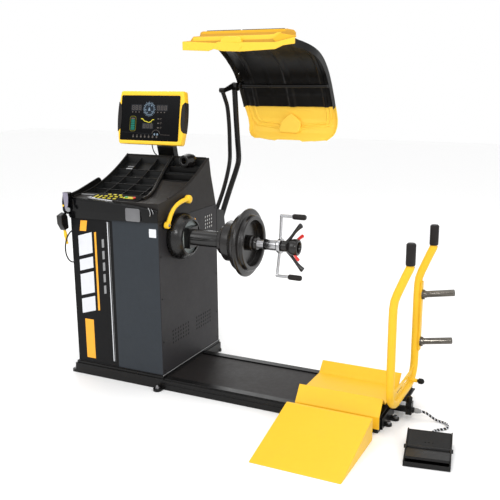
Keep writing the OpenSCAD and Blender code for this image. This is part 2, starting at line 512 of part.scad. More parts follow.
module handle_grips() place() color("#1c1a1a") for (y = [leg_y0, leg_y1]) difference() {
  union() {
    translate([han_x + 68, y, 796]) cylinder(h = 4, r1 = 19, r2 = 21);
    translate([han_x + 68, y, 800]) cylinder(h = grip_z - 806, r = 21);
    translate([han_x + 68, y, grip_z - 6]) cylinder(h = 6, r1 = 21, r2 = 16);
  }
  translate([han_x + 68, y, 780]) cylinder(h = grip_z - 786, r = 15.6);
}
module cone_pegs() place() color("#b7bbbe") for (z = [306, 546]) {
  translate([1220.2, leg_y1, z]) { rotate([0, 90, 0]) cylinder(h = 6, r = 24); rotate([0, 80, 0]) translate([0, 0, 3.2]) difference() { union() { cylinder(h = 16, r = 17.5); cylinder(h = 150, r = 16); } translate([0, 0, 20]) cylinder(h = 140, r = 13.5); } for (s = [-1, 1]) translate([6, 0, s * 19]) rotate([0, 90, 0]) cylinder(h = 6, r = 6, $fn = 6); }
}
module latch_knob() place() color("#151515") { cylx(1208, 1236, 5, 352, 132); translate([1236, 352, 132]) rotate([0, 90, 0]) cylinder(h = 6, r1 = 8, r2 = 14); cylx(1242, 1254, 14, 352, 132); translate([1254, 352, 132]) sphere(r = 14); }

// ------------------------------------------------------------------ hung tools, switch
module rim_caliper() place() color("#171717") {
  box([-cab_w - 22, 24, 880], [-cab_w - 0.3, 74, 985]);
  ex(-cab_w - 34, -cab_w - 22.2) polygon([[10, 985], [26, 990], [40, 970], [44, 930], [30, 890], [18, 872], [8, 880], [20, 930]]);
}
module weight_hammer() place() color("#262626") {
  box([-cab_w - 46, 4, 806], [-cab_w - 12, 40, 868]);
  translate([-cab_w - 28, 20, 700]) cylinder(h = 106, r = 9);
  box([-cab_w - 12, 12, 840], [-cab_w - 0.3, 30, 856]);
}
module power_switch() place() color("#101010") { translate([-cab_w - 8, 60, 420]) rotate([0, 90, 0]) cylinder(h = 7.7, r = 20); translate([-cab_w - 20, 60, 420]) rotate([0, 90, 0]) cylinder(h = 12, r = 13); }

base_plinth();
rails();
deck_plate();
anchor_bolts();
end_bracket();
air_valve();
air_hose();
pedal_base();
pedal_rocker();
ramp();
cabinet_front();
cabinet_right();
cabinet_left();
cabinet_rear();
inner_frame();
top_cover();
weight_tray();
front_lip();
keypad_panel();
key_start();
key_stop();
display_post();
display_housing();
display_glass();
display_lead();
shroud();
shroud_plate();
spindle_housing();
bearings();
main_shaft();
adapter_disc();
centring_cone();
side_lead();
drive_belt();
motor();
motor_pulley();
quick_nut();
crank_nut();
crank_grips();
lever_upper();
lever_lower();
gauge_rod();
gauge_arm();
guard_shell();
guard_cap_top();
guard_cap_low();
guard_rod();
guard_arm();
guard_link();
arm_mount();
carriage_frame();
lift_bags();
cradle();
handle_tube();
handle_grips();
cone_pegs();
latch_knob();
rim_caliper();
weight_hammer();
power_switch();
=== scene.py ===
import json
import math
import bpy
import bmesh
from mathutils import Matrix, Vector


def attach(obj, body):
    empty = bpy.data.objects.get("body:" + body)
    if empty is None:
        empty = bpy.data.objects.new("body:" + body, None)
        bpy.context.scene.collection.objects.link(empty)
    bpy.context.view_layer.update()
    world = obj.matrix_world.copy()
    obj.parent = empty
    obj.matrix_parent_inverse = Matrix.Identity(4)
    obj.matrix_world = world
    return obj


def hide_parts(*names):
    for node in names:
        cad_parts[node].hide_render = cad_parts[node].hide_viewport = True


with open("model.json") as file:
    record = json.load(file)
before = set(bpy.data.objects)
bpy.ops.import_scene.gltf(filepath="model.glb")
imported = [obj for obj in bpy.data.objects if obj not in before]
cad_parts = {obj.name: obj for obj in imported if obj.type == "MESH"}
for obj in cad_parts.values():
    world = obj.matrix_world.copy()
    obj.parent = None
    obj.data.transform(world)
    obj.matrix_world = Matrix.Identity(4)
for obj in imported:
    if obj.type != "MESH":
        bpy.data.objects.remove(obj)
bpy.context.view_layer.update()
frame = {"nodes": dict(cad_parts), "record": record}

CX, CY = 462.356, 294.0      # middle of the footprint in the machine frame, mm
YS, ZS = 185.0, 778.0        # spindle axis


def P(x, y, z):
    """machine frame, mm -> row frame, metres"""
    return Vector(((x - CX) / 1000.0, (y - CY) / 1000.0, z / 1000.0))


def rimz(y):
    return 971 + 0.012 * y + 0.00061 * y * y


# ---------------------------------------------------------------- materials
MATS = {}


def mat(name, col, rough=0.5, metal=0.0, var=0.12, scale=40.0, bump=0.05, bscale=900.0, bdist=0.0004, coat=0.0,
        dirt=0.0, rvar=0.08, stretch=None, spec=0.5, emit=None):
    """paint, plastic, rubber or metal built from layered noise: colour drift, gloss drift, grain bump and light dust"""
    if name in MATS:
        return MATS[name]
    m = bpy.data.materials.new(name)
    m.use_nodes = True
    nt = m.node_tree
    nt.nodes.clear()
    N, L = nt.nodes.new, nt.links.new
    out = N("ShaderNodeOutputMaterial")
    s = N("ShaderNodeBsdfPrincipled")
    L(s.outputs[0], out.inputs[0])
    tc = N("ShaderNodeTexCoord")
    vec = tc.outputs["Object"]
    if stretch:
        mp = N("ShaderNodeMapping")
        mp.inputs["Scale"].default_value = stretch
        L(vec, mp.inputs[0])
        vec = mp.outputs[0]
    n1 = N("ShaderNodeTexNoise")
    n1.inputs["Scale"].default_value = scale * 0.12
    n1.inputs["Detail"].default_value = 6.0
    n1.inputs["Roughness"].default_value = 0.6
    L(vec, n1.inputs["Vector"])
    n2 = N("ShaderNodeTexNoise")
    n2.inputs["Scale"].default_value = scale
    n2.inputs["Detail"].default_value = 8.0
    L(vec, n2.inputs["Vector"])
    mx = N("ShaderNodeMix")
    mx.data_type = "FLOAT"
    mx.inputs[0].default_value = 0.45
    L(n1.outputs[0], mx.inputs[2])
    L(n2.outputs[0], mx.inputs[3])
    r = N("ShaderNodeValToRGB")
    lo = [max(0.0, c * (1 - var)) for c in col] + [1]
    hi = [min(1.0, c * (1 + var) + 0.004 * var) for c in col] + [1]
    r.color_ramp.elements[0].position = 0.3
    r.color_ramp.elements[0].color = lo
    r.color_ramp.elements[1].position = 0.7
    r.color_ramp.elements[1].color = hi
    L(mx.outputs[0], r.inputs[0])
    colout = r.outputs[0]
    if dirt:
        n3 = N("ShaderNodeTexNoise")
        n3.inputs["Scale"].default_value = 9.0
        n3.inputs["Detail"].default_value = 10.0
        n3.inputs["Roughness"].default_value = 0.75
        L(tc.outputs["Object"], n3.inputs["Vector"])
        rr = N("ShaderNodeMapRange")
        rr.inputs["From Min"].default_value = 0.52
        rr.inputs["From Max"].default_value = 0.75
        rr.inputs["To Max"].default_value = dirt
        L(n3.outputs[0], rr.inputs[0])
        dm = N("ShaderNodeMix")
        dm.data_type = "RGBA"
        L(rr.outputs[0], dm.inputs[0])
        L(colout, dm.inputs[6])
        dm.inputs[7].default_value = (0.18, 0.165, 0.15, 1)
        colout = dm.outputs[2]
    L(colout, s.inputs["Base Color"])
    rg = N("ShaderNodeMapRange")
    rg.inputs["From Min"].default_value = 0.3
    rg.inputs["From Max"].default_value = 0.7
    rg.inputs["To Min"].default_value = max(0.02, rough - rvar)
    rg.inputs["To Max"].default_value = min(1.0, rough + rvar)
    L(mx.outputs[0], rg.inputs[0])
    L(rg.outputs[0], s.inputs["Roughness"])
    s.inputs["Metallic"].default_value = metal
    s.inputs["Specular IOR Level"].default_value = spec
    if coat:
        s.inputs["Coat Weight"].default_value = coat
        s.inputs["Coat Roughness"].default_value = 0.12
    if emit:
        s.inputs["Emission Color"].default_value = (*emit[0], 1)
        s.inputs["Emission Strength"].default_value = emit[1]
    if bump:
        nb = N("ShaderNodeTexNoise")
        nb.inputs["Scale"].default_value = bscale
        nb.inputs["Detail"].default_value = 4.0
        L(vec, nb.inputs["Vector"])
        bp = N("ShaderNodeBump")
        bp.inputs["Strength"].default_value = bump
        bp.inputs["Distance"].default_value = bdist
        L(nb.outputs[0], bp.inputs["Height"])
        L(bp.outputs[0], s.inputs["Normal"])
    MATS[name] = m
    return m


CAB = mat("cabinet_charcoal", (0.0215, 0.0265, 0.033), 0.46, var=0.10, bump=0.25, bscale=1400, dirt=0.02, spec=0.22)
CABS = mat("cabinet_side", (0.0225, 0.0215, 0.0235), 0.5, var=0.10, bump=0.25, bscale=1400, dirt=0.02, spec=0.2)
BLK = mat("satin_black_powder", (0.0042, 0.004, 0.004), 0.32, var=0.15, bump=0.15, bscale=1100, dirt=0.02, spec=0.22)
BLKP = mat("black_moulding", (0.0045, 0.0042, 0.004), 0.36, var=0.15, bump=0.2, bscale=1600, dirt=0.012, spec=0.17)
SHR = mat("shroud_black", (0.0045, 0.0042, 0.004), 0.27, var=0.12, bump=0.08, bscale=1600, dirt=0.01, rvar=0.03, spec=0.4)
BRN = mat("cover_moulding", (0.0175, 0.0155, 0.0145), 0.5, var=0.12, bump=0.4, bscale=1500, dirt=0.02, spec=0.16)
GLS = mat("gloss_black", (0.0025, 0.0025, 0.0028), 0.16, var=0.2, bump=0.03, rvar=0.05, spec=0.2)
YEL = mat("yellow_powder", (0.80, 0.475, 0.022), 0.4, var=0.03, bump=0.15, bscale=1000, dirt=0.03, spec=0.25)
YELP = mat("yellow_moulded", (0.92, 0.555, 0.03), 0.36, var=0.03, bump=0.1, bscale=1500, dirt=0.015, spec=0.25)
YELH = mat("yellow_hood", (0.86, 0.535, 0.045), 0.42, var=0.03, bump=0.1, bscale=1500, dirt=0.015, spec=0.22)
# darker copy of the hood yellow: painted shade on the roof behind the lip
YEL_TOP_SHADED = mat("yellow_hood_top_painted_shade", (0.56, 0.31, 0.035), 0.5, var=0.04, bump=0.1, bscale=1500, dirt=0.02, spec=0.15)
# mid-dark copy of the hood yellow: painted shade on the slab faces
YEL_STEP_SHADED = mat("yellow_hood_step_painted_shade", (0.74, 0.42, 0.022), 0.45, var=0.03, bump=0.1, bscale=1500, dirt=0.015, spec=0.2)
KEYM = mat("key_yellow", (0.50, 0.42, 0.02), 0.45, var=0.08, bump=0.04, spec=0.15)
TRAY = mat("tray_moulding", (0.0105, 0.0110, 0.0112), 0.42, var=0.2, bump=0.25, bscale=1500, dirt=0.04, spec=0.25)
HSG = mat("housing_black", (0.0055, 0.0052, 0.005), 0.22, var=0.15, bump=0.05, bscale=900, rvar=0.04, dirt=0.01, spec=0.5)
# lighter copy of the hood yellow: painted light on the front-facing low cap
YEL_LOW_LIT = mat("yellow_hood_low_painted_light", (1.0, 0.66, 0.085), 0.45, var=0.02, bump=0.08, bscale=1500, dirt=0.01, spec=0.2)
GLASS = mat("display_glass_black", (0.0014, 0.0015, 0.002), 0.2, var=0.2, bump=0.0, rvar=0.03, spec=0.07)
STEEL = mat("ground_steel", (0.30, 0.30, 0.31), 0.3, metal=1.0, var=0.15, bump=0.1, bscale=500, stretch=(30, 1, 1), rvar=0.08)
CHR = mat("chrome_plate", (0.42, 0.42, 0.43), 0.2, metal=1.0, var=0.2, bump=0.03, bscale=300, rvar=0.08)
PEG = mat("dark_chrome_peg", (0.125, 0.115, 0.10), 0.2, metal=1.0, var=0.25, bump=0.04, bscale=300, stretch=(1, 6, 6), rvar=0.06)
DST = mat("black_lacquer", (0.0068, 0.0058, 0.0054), 0.24, var=0.12, bump=0.03, bscale=500, rvar=0.03, dirt=0.012, spec=0.45)
RUB = mat("black_rubber", (0.006, 0.0058, 0.0058), 0.6, var=0.2, bump=0.4, bscale=1500, dirt=0.03, spec=0.2)
GRP = mat("grip_rubber", (0.0115, 0.0095, 0.009), 0.5, var=0.2, bump=0.4, bscale=1400, dirt=0.03, spec=0.2)
RED = mat("red_plastic", (0.60, 0.022, 0.014), 0.32, var=0.1, bump=0.05, spec=0.3)
GRN = mat("green_plastic", (0.03, 0.32, 0.07), 0.3, var=0.1, bump=0.05, spec=0.3)
GRY = mat("grey_plate", (0.36, 0.40, 0.395), 0.5, var=0.08, bump=0.1, dirt=0.04, spec=0.2)
DECK = mat("deck_brown", (0.0135, 0.0115, 0.011), 0.5, var=0.3, bump=0.4, bscale=700, dirt=0.05, spec=0.2)
MOT = mat("motor_blue_grey", (0.05, 0.07, 0.095), 0.45, var=0.15, bump=0.4, bscale=600, dirt=0.08)
VENTW = mat("vent_light", (0.62, 0.62, 0.61), 0.5, var=0.06, bump=0.1)
# near-black sheet that stands in for the shade behind the louvres: painted shade
SHADE_SHEET = mat("painted_shade_recess", (0.002, 0.002, 0.002), 0.7, var=0.3, bump=0.1, spec=0.05)
# orange of the front decals; on one shroud screw it is a painted reflection
ORG = mat("orange_decal_and_painted_reflection", (0.88, 0.40, 0.035), 0.4, var=0.05, bump=0.04, spec=0.2)
DBLK = mat("decal_black", (0.0045, 0.0045, 0.005), 0.4, var=0.2, bump=0.04, spec=0.12)
PADK = mat("keypad_black", (0.003, 0.003, 0.0032), 0.6, var=0.2, bump=0.04, spec=0.03)
WHT = mat("decal_white", (0.66, 0.67, 0.70), 0.45, var=0.04, bump=0.04, spec=0.2)
LGREY = mat("light_grey", (0.24, 0.245, 0.25), 0.42, var=0.12, bump=0.1, spec=0.25)
PATCH = mat("patch_grey", (0.13, 0.13, 0.135), 0.35, var=0.35, scale=10, bump=0.04, spec=0.25)
LEDG = mat("led_grey", (0.016, 0.017, 0.02), 0.3, var=0.3, bump=0.0, spec=0.08)
LEDS = mat("led_segment", (0.06, 0.052, 0.047), 0.35, var=0.3, bump=0.0, spec=0.08, emit=((0.11, 0.095, 0.085), 0.5))
LEDW = mat("led_dial", (0.11, 0.145, 0.18), 0.35, var=0.25, bump=0.0, spec=0.08, emit=((0.16, 0.23, 0.31), 0.45))
LEDD = mat("led_dial_dark", (0.012, 0.019, 0.028), 0.35, var=0.25, bump=0.0, spec=0.08)
LEDGR = mat("led_green", (0.01, 0.10, 0.075), 0.35, var=0.2, bump=0.0, spec=0.08, emit=((0.015, 0.20, 0.14), 0.4))
LEDY = mat("led_yellow", (0.38, 0.33, 0.03), 0.35, var=0.1, bump=0.0, spec=0.08, emit=((0.5, 0.44, 0.04), 0.5))
LEDO = mat("led_olive", (0.10, 0.095, 0.012), 0.35, var=0.2, bump=0.0, spec=0.08, emit=((0.12, 0.11, 0.015), 0.3))

SLOTM = {"cabinet_paint": CAB, "black_paint": BLK, "yellow_paint": YEL, "yellow_plastic": YELP, "black_plastic": BLKP,
         "gloss_black": GLS, "screen_glass": GLASS, "steel": STEEL, "chrome": CHR, "dark_steel": DST, "rubber": RUB,
         "red_plastic": RED, "green_plastic": GRN, "grey_plastic": GRY, "motor_paint": MOT}
slot_of = {s["node"]: s["material_slot"] for s in frame["record"]["subparts"]}
SPECIAL = {"weight_tray": TRAY, "spindle_housing": HSG, "keypad_panel": PADK, "deck_plate": DECK, "cabinet_right": CABS, "cabinet_rear": CABS, "top_cover": BRN, "cone_pegs": PEG,
           "handle_grips": GRP, "guard_cap_top": YELH, "guard_cap_low": YELH, "crank_grips": GRP}


def finish_edges(o, w=1.2, seg=2, ang=32.0, weld=True):
    if weld:
        we = o.modifiers.new("weld", "WELD")
        we.merge_threshold = 0.00002
    if w:
        b = o.modifiers.new("bevel", "BEVEL")
        b.width = w / 1000.0
        b.segments = seg
        b.limit_method = "ANGLE"
        b.angle_limit = math.radians(ang)
        b.use_clamp_overlap = True
        b.harden_normals = True
        b.miter_outer = "MITER_ARC"


def smooth(me, ang=32.0):
    me.shade_smooth() if hasattr(me, "shade_smooth") else None
    try:
        me.set_sharp_from_angle(angle=math.radians(ang))
    except Exception:
        pass


BEV = {"ramp": 1.5, "cradle": 1.2, "display_housing": 3.0, "cabinet_front": 0, "cabinet_right": 0,
       "top_cover": 3.0, "rails": 1.0, "base_plinth": 1.5, "pedal_base": 1.0, "adapter_disc": 1.2, "crank_nut": 0.8,
       "guard_shell": 1.0, "guard_cap_top": 4.0, "guard_cap_low": 3.0, "shroud": 0, "front_lip": 6.0,
       "air_hose": 0, "display_lead": 0, "cabinet_rear": 0, "cabinet_left": 0, "weight_tray": 2.0}
for n, o in frame["nodes"].items():
    m = SPECIAL.get(n, SLOTM[slot_of[n]])
    o.data.materials.clear()
    o.data.materials.append(m)
    finish_edges(o, BEV.get(n, 0.8))


# ---------------------------------------------------------------- mesh helpers
def link(o, body, m=None):
    bpy.context.scene.collection.objects.link(o)
    if m is not None:
        o.data.materials.append(m)
    if body:
        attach(o, body)
    return o


def from_bm(name, bm, m, body, bevel=0.0, seg=2, ang=32.0, sub=0):
    bmesh.ops.recalc_face_normals(bm, faces=bm.faces)
    me = bpy.data.meshes.new(name)
    bm.to_mesh(me)
    bm.free()
    for p in me.polygons:
        p.use_smooth = True
    smooth(me, ang)
    o = bpy.data.objects.new(name, me)
    link(o, body, m)
    if bevel:
        finish_edges(o, bevel, seg, ang, weld=False)
    if sub:
        s = o.modifiers.new("sub", "SUBSURF")
        s.levels = s.render_levels = sub
    return o


def prism(name, outline, a, b, m, body, axis="X", bevel=0.8, seg=2, T=None):
    """outline extruded from a to b along one machine axis; outline is (y,z) for X, (x,z) for Y, (x,y) for Z"""
    bm = bmesh.new()

    def at(p, t):
        v = (t, p[0], p[1]) if axis == "X" else (p[0], t, p[1]) if axis == "Y" else (p[0], p[1], t)
        return T(v) if T else P(*v)
    lo = [bm.verts.new(at(p, a)) for p in outline]
    hi = [bm.verts.new(at(p, b)) for p in outline]
    bm.faces.new(lo)
    bm.faces.new(list(reversed(hi)))
    n = len(outline)
    for i in range(n):
        bm.faces.new((lo[i], lo[(i + 1) % n], hi[(i + 1) % n], hi[i]))
    return from_bm(name, bm, m, body, bevel, seg)


def rbox(a, b, r, k=4):
    """rounded rectangle outline"""
    pts = []
    for cx_, cy_, s in ((b[0] - r, b[1] - r, 0), (a[0] + r, b[1] - r, 90), (a[0] + r, a[1] + r, 180), (b[0] - r, a[1] + r, 270)):
        for i in range(k + 1):
            t = math.radians(s + 90.0 * i / k)
            pts.append((cx_ + r * math.cos(t), cy_ + r * math.sin(t)))
    return pts


def lathe(name, base, d, prof, m, body, seg=48, bevel=0.0, T=None, ang=40.0):
    """profile (h, r) turned round the axis d through base"""
    d = Vector(d).normalized()
    u = d.orthogonal().normalized()
    w = d.cross(u)
    base = Vector(base)
    bm = bmesh.new()
    rings = []
    ring_like = prof[0] == prof[-1] and prof[0][1] > 0
    if ring_like:
        prof = prof[:-1]
    for h, r in prof:
        if r < 1e-6:
            p = base + d * h
            rings.append([bm.verts.new(T(p) if T else P(*p))])
        else:
            ring = []
            for k in range(seg):
                t = 2 * math.pi * k / seg
                p = base + d * h + (u * math.cos(t) + w * math.sin(t)) * r
                ring.append(bm.verts.new(T(p) if T else P(*p)))
            rings.append(ring)
    for A, B in zip(rings, rings[1:] + (rings[:1] if ring_like else [])):
        for k in range(seg):
            a0, a1 = A[k % len(A)], A[(k + 1) % len(A)]
            b0, b1 = B[k % len(B)], B[(k + 1) % len(B)]
            f = [v for i, v in enumerate((a0, a1, b1, b0)) if v not in (a0, a1, b1, b0)[:i]]
            if len(f) > 2:
                bm.faces.new(f)
    for ring, rv in ((rings[0], True), (rings[-1], False)):
        if len(ring) > 1 and not ring_like:
            bm.faces.new(list(reversed(ring)) if rv else ring)
    return from_bm(name, bm, m, body, bevel, ang=ang)


def smooth_pts(Q, k=8):
    Q = [Vector(q) for q in Q]
    out = []
    for i in range(len(Q) - 1):
        a, b, c, d = Q[max(i - 1, 0)], Q[i], Q[i + 1], Q[min(i + 2, len(Q) - 1)]
        for j in range(k):
            t = j / k
            out.append(0.5 * ((2 * b) + (c - a) * t + (2 * a - 5 * b + 4 * c - d) * t * t + (3 * b - a - 3 * c + d) * t ** 3))
    out.append(Q[-1])
    return out


def tube(name, pts, r, m, body, seg=16, radii=None, caps=True):
    pts = [Vector(p) for p in pts]
    n = len(pts)
    T = [(pts[min(i + 1, n - 1)] - pts[max(i - 1, 0)]).normalized() for i in range(n)]
    u = T[0].orthogonal().normalized()
    bm = bmesh.new()
    rings = []
    for i in range(n):
        u = (u - T[i] * u.dot(T[i])).normalized()
        w = T[i].cross(u)
        rr = radii[i] if radii else r
        rings.append([bm.verts.new(P(*(pts[i] + (u * math.cos(2 * math.pi * k / seg) + w * math.sin(2 * math.pi * k / seg)) * rr))) for k in range(seg)])
    for A, B in zip(rings, rings[1:]):
        for k in range(seg):
            bm.faces.new((A[k], A[(k + 1) % seg], B[(k + 1) % seg], B[k]))
    if caps:
        bm.faces.new(list(reversed(rings[0])))
        bm.faces.new(rings[-1])
    return from_bm(name, bm, m, body, ang=60)


def screw(name, p, d, r=6.0, body="base", m=None, h=2.4):
    """pan head with a round recess"""
    d = Vector(d).normalized()
    o = lathe(name, Vector(p), d, [(0, r), (h * 0.35, r), (h * 0.8, r * 0.78), (h, r * 0.45), (h, r * 0.30), (h * 0.45, r * 0.2), (h * 0.45, 0)], m or CHR, body, seg=20)
    return o


# ---------------------------------------------------------------- display graphics
DA = math.radians(-10)


def TD(v):
    x, y, z = v
    return P(-302 + x, 424 + y * math.cos(DA) - z * math.sin(DA), 1360 + y * math.sin(DA) + z * math.cos(DA))


def TDG(v):
    return TD((v[0] * 1.06 + 1.5, v[1], v[2] * 1.06 - 5.5))


def dpatch(name, a, b, m, r=3.0, y=0.7, t=0.35):
    return prism(name, rbox(a, b, r), y - t, y, m, "base", axis="Y", bevel=0, T=TDG)


def dring(name, c, r0, r1, m, a0=0, a1=360, n=48, y=0.6, t=0.3):
    bm = bmesh.new()
    full = a1 - a0 >= 360
    k = n if full else n + 1
    V = []
    for i in range(k):
        a = math.radians(a0 + (a1 - a0) * i / n)
        V.append([bm.verts.new(TDG((c[0] + r * math.cos(a), yy, c[1] + r * math.sin(a)))) for r in (r0, r1) for yy in (y - t, y)])
    for i in range(n):
        A, B = V[i], V[(i + 1) % k]
        for p, q in ((0, 1), (1, 3), (3, 2), (2, 0)):
            bm.faces.new((A[p], A[q], B[q], B[p]))
    if not full:
        for A in (V[0], V[-1]):
            bm.faces.new((A[0], A[1], A[3], A[2]))
    return from_bm(name, bm, m, "base")


SEG7 = ((0.15, 0.9, 0.85, 1.0), (0.15, 0.45, 0.85, 0.55), (0.15, 0.0, 0.85, 0.1), (0.0, 0.55, 0.15, 0.95), (0.85, 0.55, 1.0, 0.95), (0.0, 0.05, 0.15, 0.45), (0.85, 0.05, 1.0, 0.45))
for nm, (x0, z0, x1, z1) in (("led_a", (-122, 42, -60, 70)), ("led_b", (32, 42, 96, 70)), ("led_c", (-49, -50, 14, -24))):
    dpatch(nm, (x0 - 2, z0 - 2), (x1 + 2, z1 + 2), LEDG, 3, y=0.85, t=0.2)
    w3 = (x1 - x0) / 3.0
    for i in range(3):
        for k, (a0, b0, a1, b1) in enumerate(SEG7):
            ww, hh = w3 * 0.66, (z1 - z0) * 0.78
            ox, oz = x0 + w3 * i + w3 * 0.17, z0 + (z1 - z0) * 0.11
            dpatch("%s_%d_%d" % (nm, i, k), (ox + a0 * ww, oz + b0 * hh), (ox + a1 * ww, oz + b1 * hh), LEDS, 0.6, y=0.6, t=0.2)
for nm, x0 in (("cap_a", -118), ("cap_b", 36)):
    for i in range(3):
        dpatch("%s%d" % (nm, i), (x0 + i * 20, 31), (x0 + 7 + i * 20, 36), LEDS, 1.0, y=0.6, t=0.2)
dc = (-13, 49)
dpatch("dial_disc", (dc[0] - 27, dc[1] - 27), (dc[0] + 27, dc[1] + 27), LEDD, 26.9, y=0.85, t=0.2)
dring("dial_outer", dc, 27.5, 30.0, LEDW)
dring("dial_inner", dc, 15.0, 16.6, LEDG)
for i in range(24):
    a = math.radians(15 * i)
    L0, L1 = (32, 36.5) if i % 2 else (31, 38.5)
    u, w_ = (math.cos(a), math.sin(a)), (-math.sin(a) * 1.3, math.cos(a) * 1.3)
    prism("dial_tick%d" % i, [(dc[0] + u[0] * L0 + w_[0], dc[1] + u[1] * L0 + w_[1]), (dc[0] + u[0] * L1 + w_[0], dc[1] + u[1] * L1 + w_[1]),
                              (dc[0] + u[0] * L1 - w_[0], dc[1] + u[1] * L1 - w_[1]), (dc[0] + u[0] * L0 - w_[0], dc[1] + u[1] * L0 - w_[1])],
          0.4, 0.6, LEDW, "base", axis="Y", bevel=0, T=TDG)
for i in range(8):
    a = math.radians(45 * i + 10)
    dpatch("dial_seg%d" % i, (dc[0] + 21.5 * math.cos(a) - 3, dc[1] + 21.5 * math.sin(a) - 3), (dc[0] + 21.5 * math.cos(a) + 3, dc[1] + 21.5 * math.sin(a) + 3), LEDW if i % 3 else LEDG, 2.5, y=0.6, t=0.2)
prism("dial_hand", [(dc[0] - 7, dc[1] - 8), (dc[0] + 7, dc[1] - 8), (dc[0] + 2, dc[1] + 9), (dc[0] - 2, dc[1] + 9)], 0.4, 0.6, LEDW, "base", axis="Y", bevel=0, T=TDG)
dpatch("pill_outline", (-129, -66), (-90, 13), LEDO, 12, y=0.85, t=0.2)
dpatch("pill_inner", (-126, -63), (-93, 10), GLASS, 10, y=0.6, t=0.2)
for i in range(7):
    dpatch("pill_bar%d" % i, (-122 + i * 0.3, -58 + i * 9.1), (-97 - i * 0.3, -51.2 + i * 9.1), LEDGR if i < 6 else LEDS, 2.2, y=0.4, t=0.2)
rim_l = [(-60, 2), (-50, 2), (-38, -10), (-26, -12), (-12, -17), (0, -12), (10, -2), (20, -2), (20, -6), (12, -6), (0, -17), (-12, -21), (-28, -16), (-40, -14), (-52, -3), (-60, -3)]
prism("rim_line", rim_l, 0.4, 0.6, LEDY, "base", axis="Y", bevel=0, T=TDG)
prism("rim_tail", [(2, -24), (6, -24), (4, -15), (0, -15)], 0.4, 0.6, LEDO, "base", axis="Y", bevel=0, T=TDG)
prism("base_line", [(-176, -70), (10, -77), (10, -78.4), (-176, -71.4)], 0.4, 0.6, LEDG, "base", axis="Y", bevel=0, T=TDG)
prism("base_line_b", [(62, -79), (118, -80), (118, -81.4), (62, -80.4)], 0.4, 0.6, LEDS, "base", axis="Y", bevel=0, T=TDG)
dring("base_arch", (35, -80), 23, 25, LEDS, 10, 170, 24)
for i in range(2):
    dpatch("arch_dot%d" % i, (22 + i * 17, -84), (32 + i * 17, -73), LEDW, 4.5, y=0.6, t=0.2)
for i in range(7):
    dpatch("mark%d" % i, (-108 + i * 24, -97), (-99 + i * 24, -88), LEDS, 2.2, y=0.6, t=0.2)
    dpatch("mark_top%d" % i, (-106 + i * 24, -86), (-101 + i * 24, -82), LEDS, 1.5, y=0.6, t=0.2)
for i, z in enumerate((0, -22, -45)):
    dpatch("icon%d" % i, (40, z - 2.5), (51, z + 3), LEDS, 1.5, y=0.6, t=0.2)
    dring("icon_r%d" % i, (62, z), 3.4, 5.0, LEDS, 0, 270, 18)

# ---------------------------------------------------------------- cabinet front decals (generic stripes only)
def fpatch(name, pts, m, y=0.0, t=0.25):
    return prism(name, pts, y - t, y, m, "base", axis="Y", bevel=0)


fpatch("decal_panel", [(-541.5, 72), (-279, 72), (-279, 866), (-541.5, 866)], DBLK)
fpatch("decal_top_mark", [(-489, 797), (-447, 799), (-437, 855), (-479, 853)], ORG, y=-0.25)
fpatch("decal_bar", [(-486, 96), (-430, 96), (-430, 316), (-486, 316)], ORG, y=-0.25)
for i, (z0, z1) in enumerate(((345, 425), (445, 560), (580, 640), (660, 770))):
    sk = 26
    fpatch("decal_stripe%d" % i, [(-500, z0), (-412, z0 + sk), (-412, z1 + sk), (-500, z1)], WHT, y=-0.25)
fpatch("decal_stripe_thin", [(-396, 372), (-384, 375), (-384, 799), (-396, 796)], ORG, y=-0.25)
for i in range(5):
    fpatch("decal_dash%d" % i, [(-350, 470 + i * 62), (-336, 474 + i * 62), (-336, 518 + i * 62), (-350, 514 + i * 62)], LGREY, y=-0.25)
fpatch("decal_line", [(-311.5, 100), (-306.5, 100), (-306.5, 858), (-311.5, 858)], WHT, y=-0.25)
fpatch("decal_line2", [(-300, 100), (-298.2, 100), (-298.2, 858), (-300, 858)], LGREY, y=-0.25)
fpatch("label_plate", rbox((-56, 800), (-14, 843), 3), WHT, y=0.0)
# corner seams and base flange
prism("front_edge_r", [(-3.2, 0.0), (0.4, 0.0), (0.4, 4.0), (-3.2, 4.0)], 71, 876, CABS, "base", axis="Z", bevel=1.0)
prism("flange_light", [(-6, 71.0), (604, 71.0), (604, 74.0), (-6, 74.0)], 0.1, 2.5, LGREY, "base", bevel=0.4)
prism("flange_front", [(-541, 71.0), (1, 71.0), (1, 74.5), (-541, 74.5)], -2.5, -0.1, BLK, "base", axis="Y", bevel=0.4)
for i, z in enumerate((96, 250, 480, 700, 862)):
    screw("side_screw_f%d" % i, (0.2, 16, z), (1, 0, 0), 5.0, m=BLK)
    screw("side_screw_r%d" % i, (0.2, 584, z), (1, 0, 0), 5.0, m=BLK)
# light insert behind the slanted slots near the top rear corner; the dark sheet behind the louvres is painted shade
prism("vent_insert", [(455, 750), (566, 750), (566, 850), (455, 850)], -1.8, -0.5, VENTW, "base", bevel=0.2)
prism("louvre_painted_shade", [(80, 205), (545, 205), (545, 325), (80, 325)], -1.9, -1.0, SHADE_SHEET, "base", bevel=0.2)

# ---------------------------------------------------------------- helpers for moulded sheets
def grid(name, fn, nu, nv, m, body, thick=0.0, off=-1.0, ang=35.0, bevel=0.0, closed_u=False):
    """sheet from fn(u, v) -> machine mm, made solid when thick is given"""
    bm = bmesh.new()
    V = [[bm.verts.new(P(*fn(i / nu, j / nv))) for j in range(nv + 1)] for i in range(nu + 1)]
    for i in range(nu):
        for j in range(nv):
            bm.faces.new((V[i][j], V[i + 1][j], V[i + 1][j + 1], V[i][j + 1]))
    me = bpy.data.meshes.new(name)
    bmesh.ops.remove_doubles(bm, verts=bm.verts, dist=1e-6)
    bm.normal_update()
    bm.to_mesh(me)
    bm.free()
    for p in me.polygons:
        p.use_smooth = True
    smooth(me, ang)
    o = bpy.data.objects.new(name, me)
    link(o, body, m)
    if thick:
        s = o.modifiers.new("solid", "SOLIDIFY")
        s.thickness = thick / 1000.0
        s.offset = off
    return o


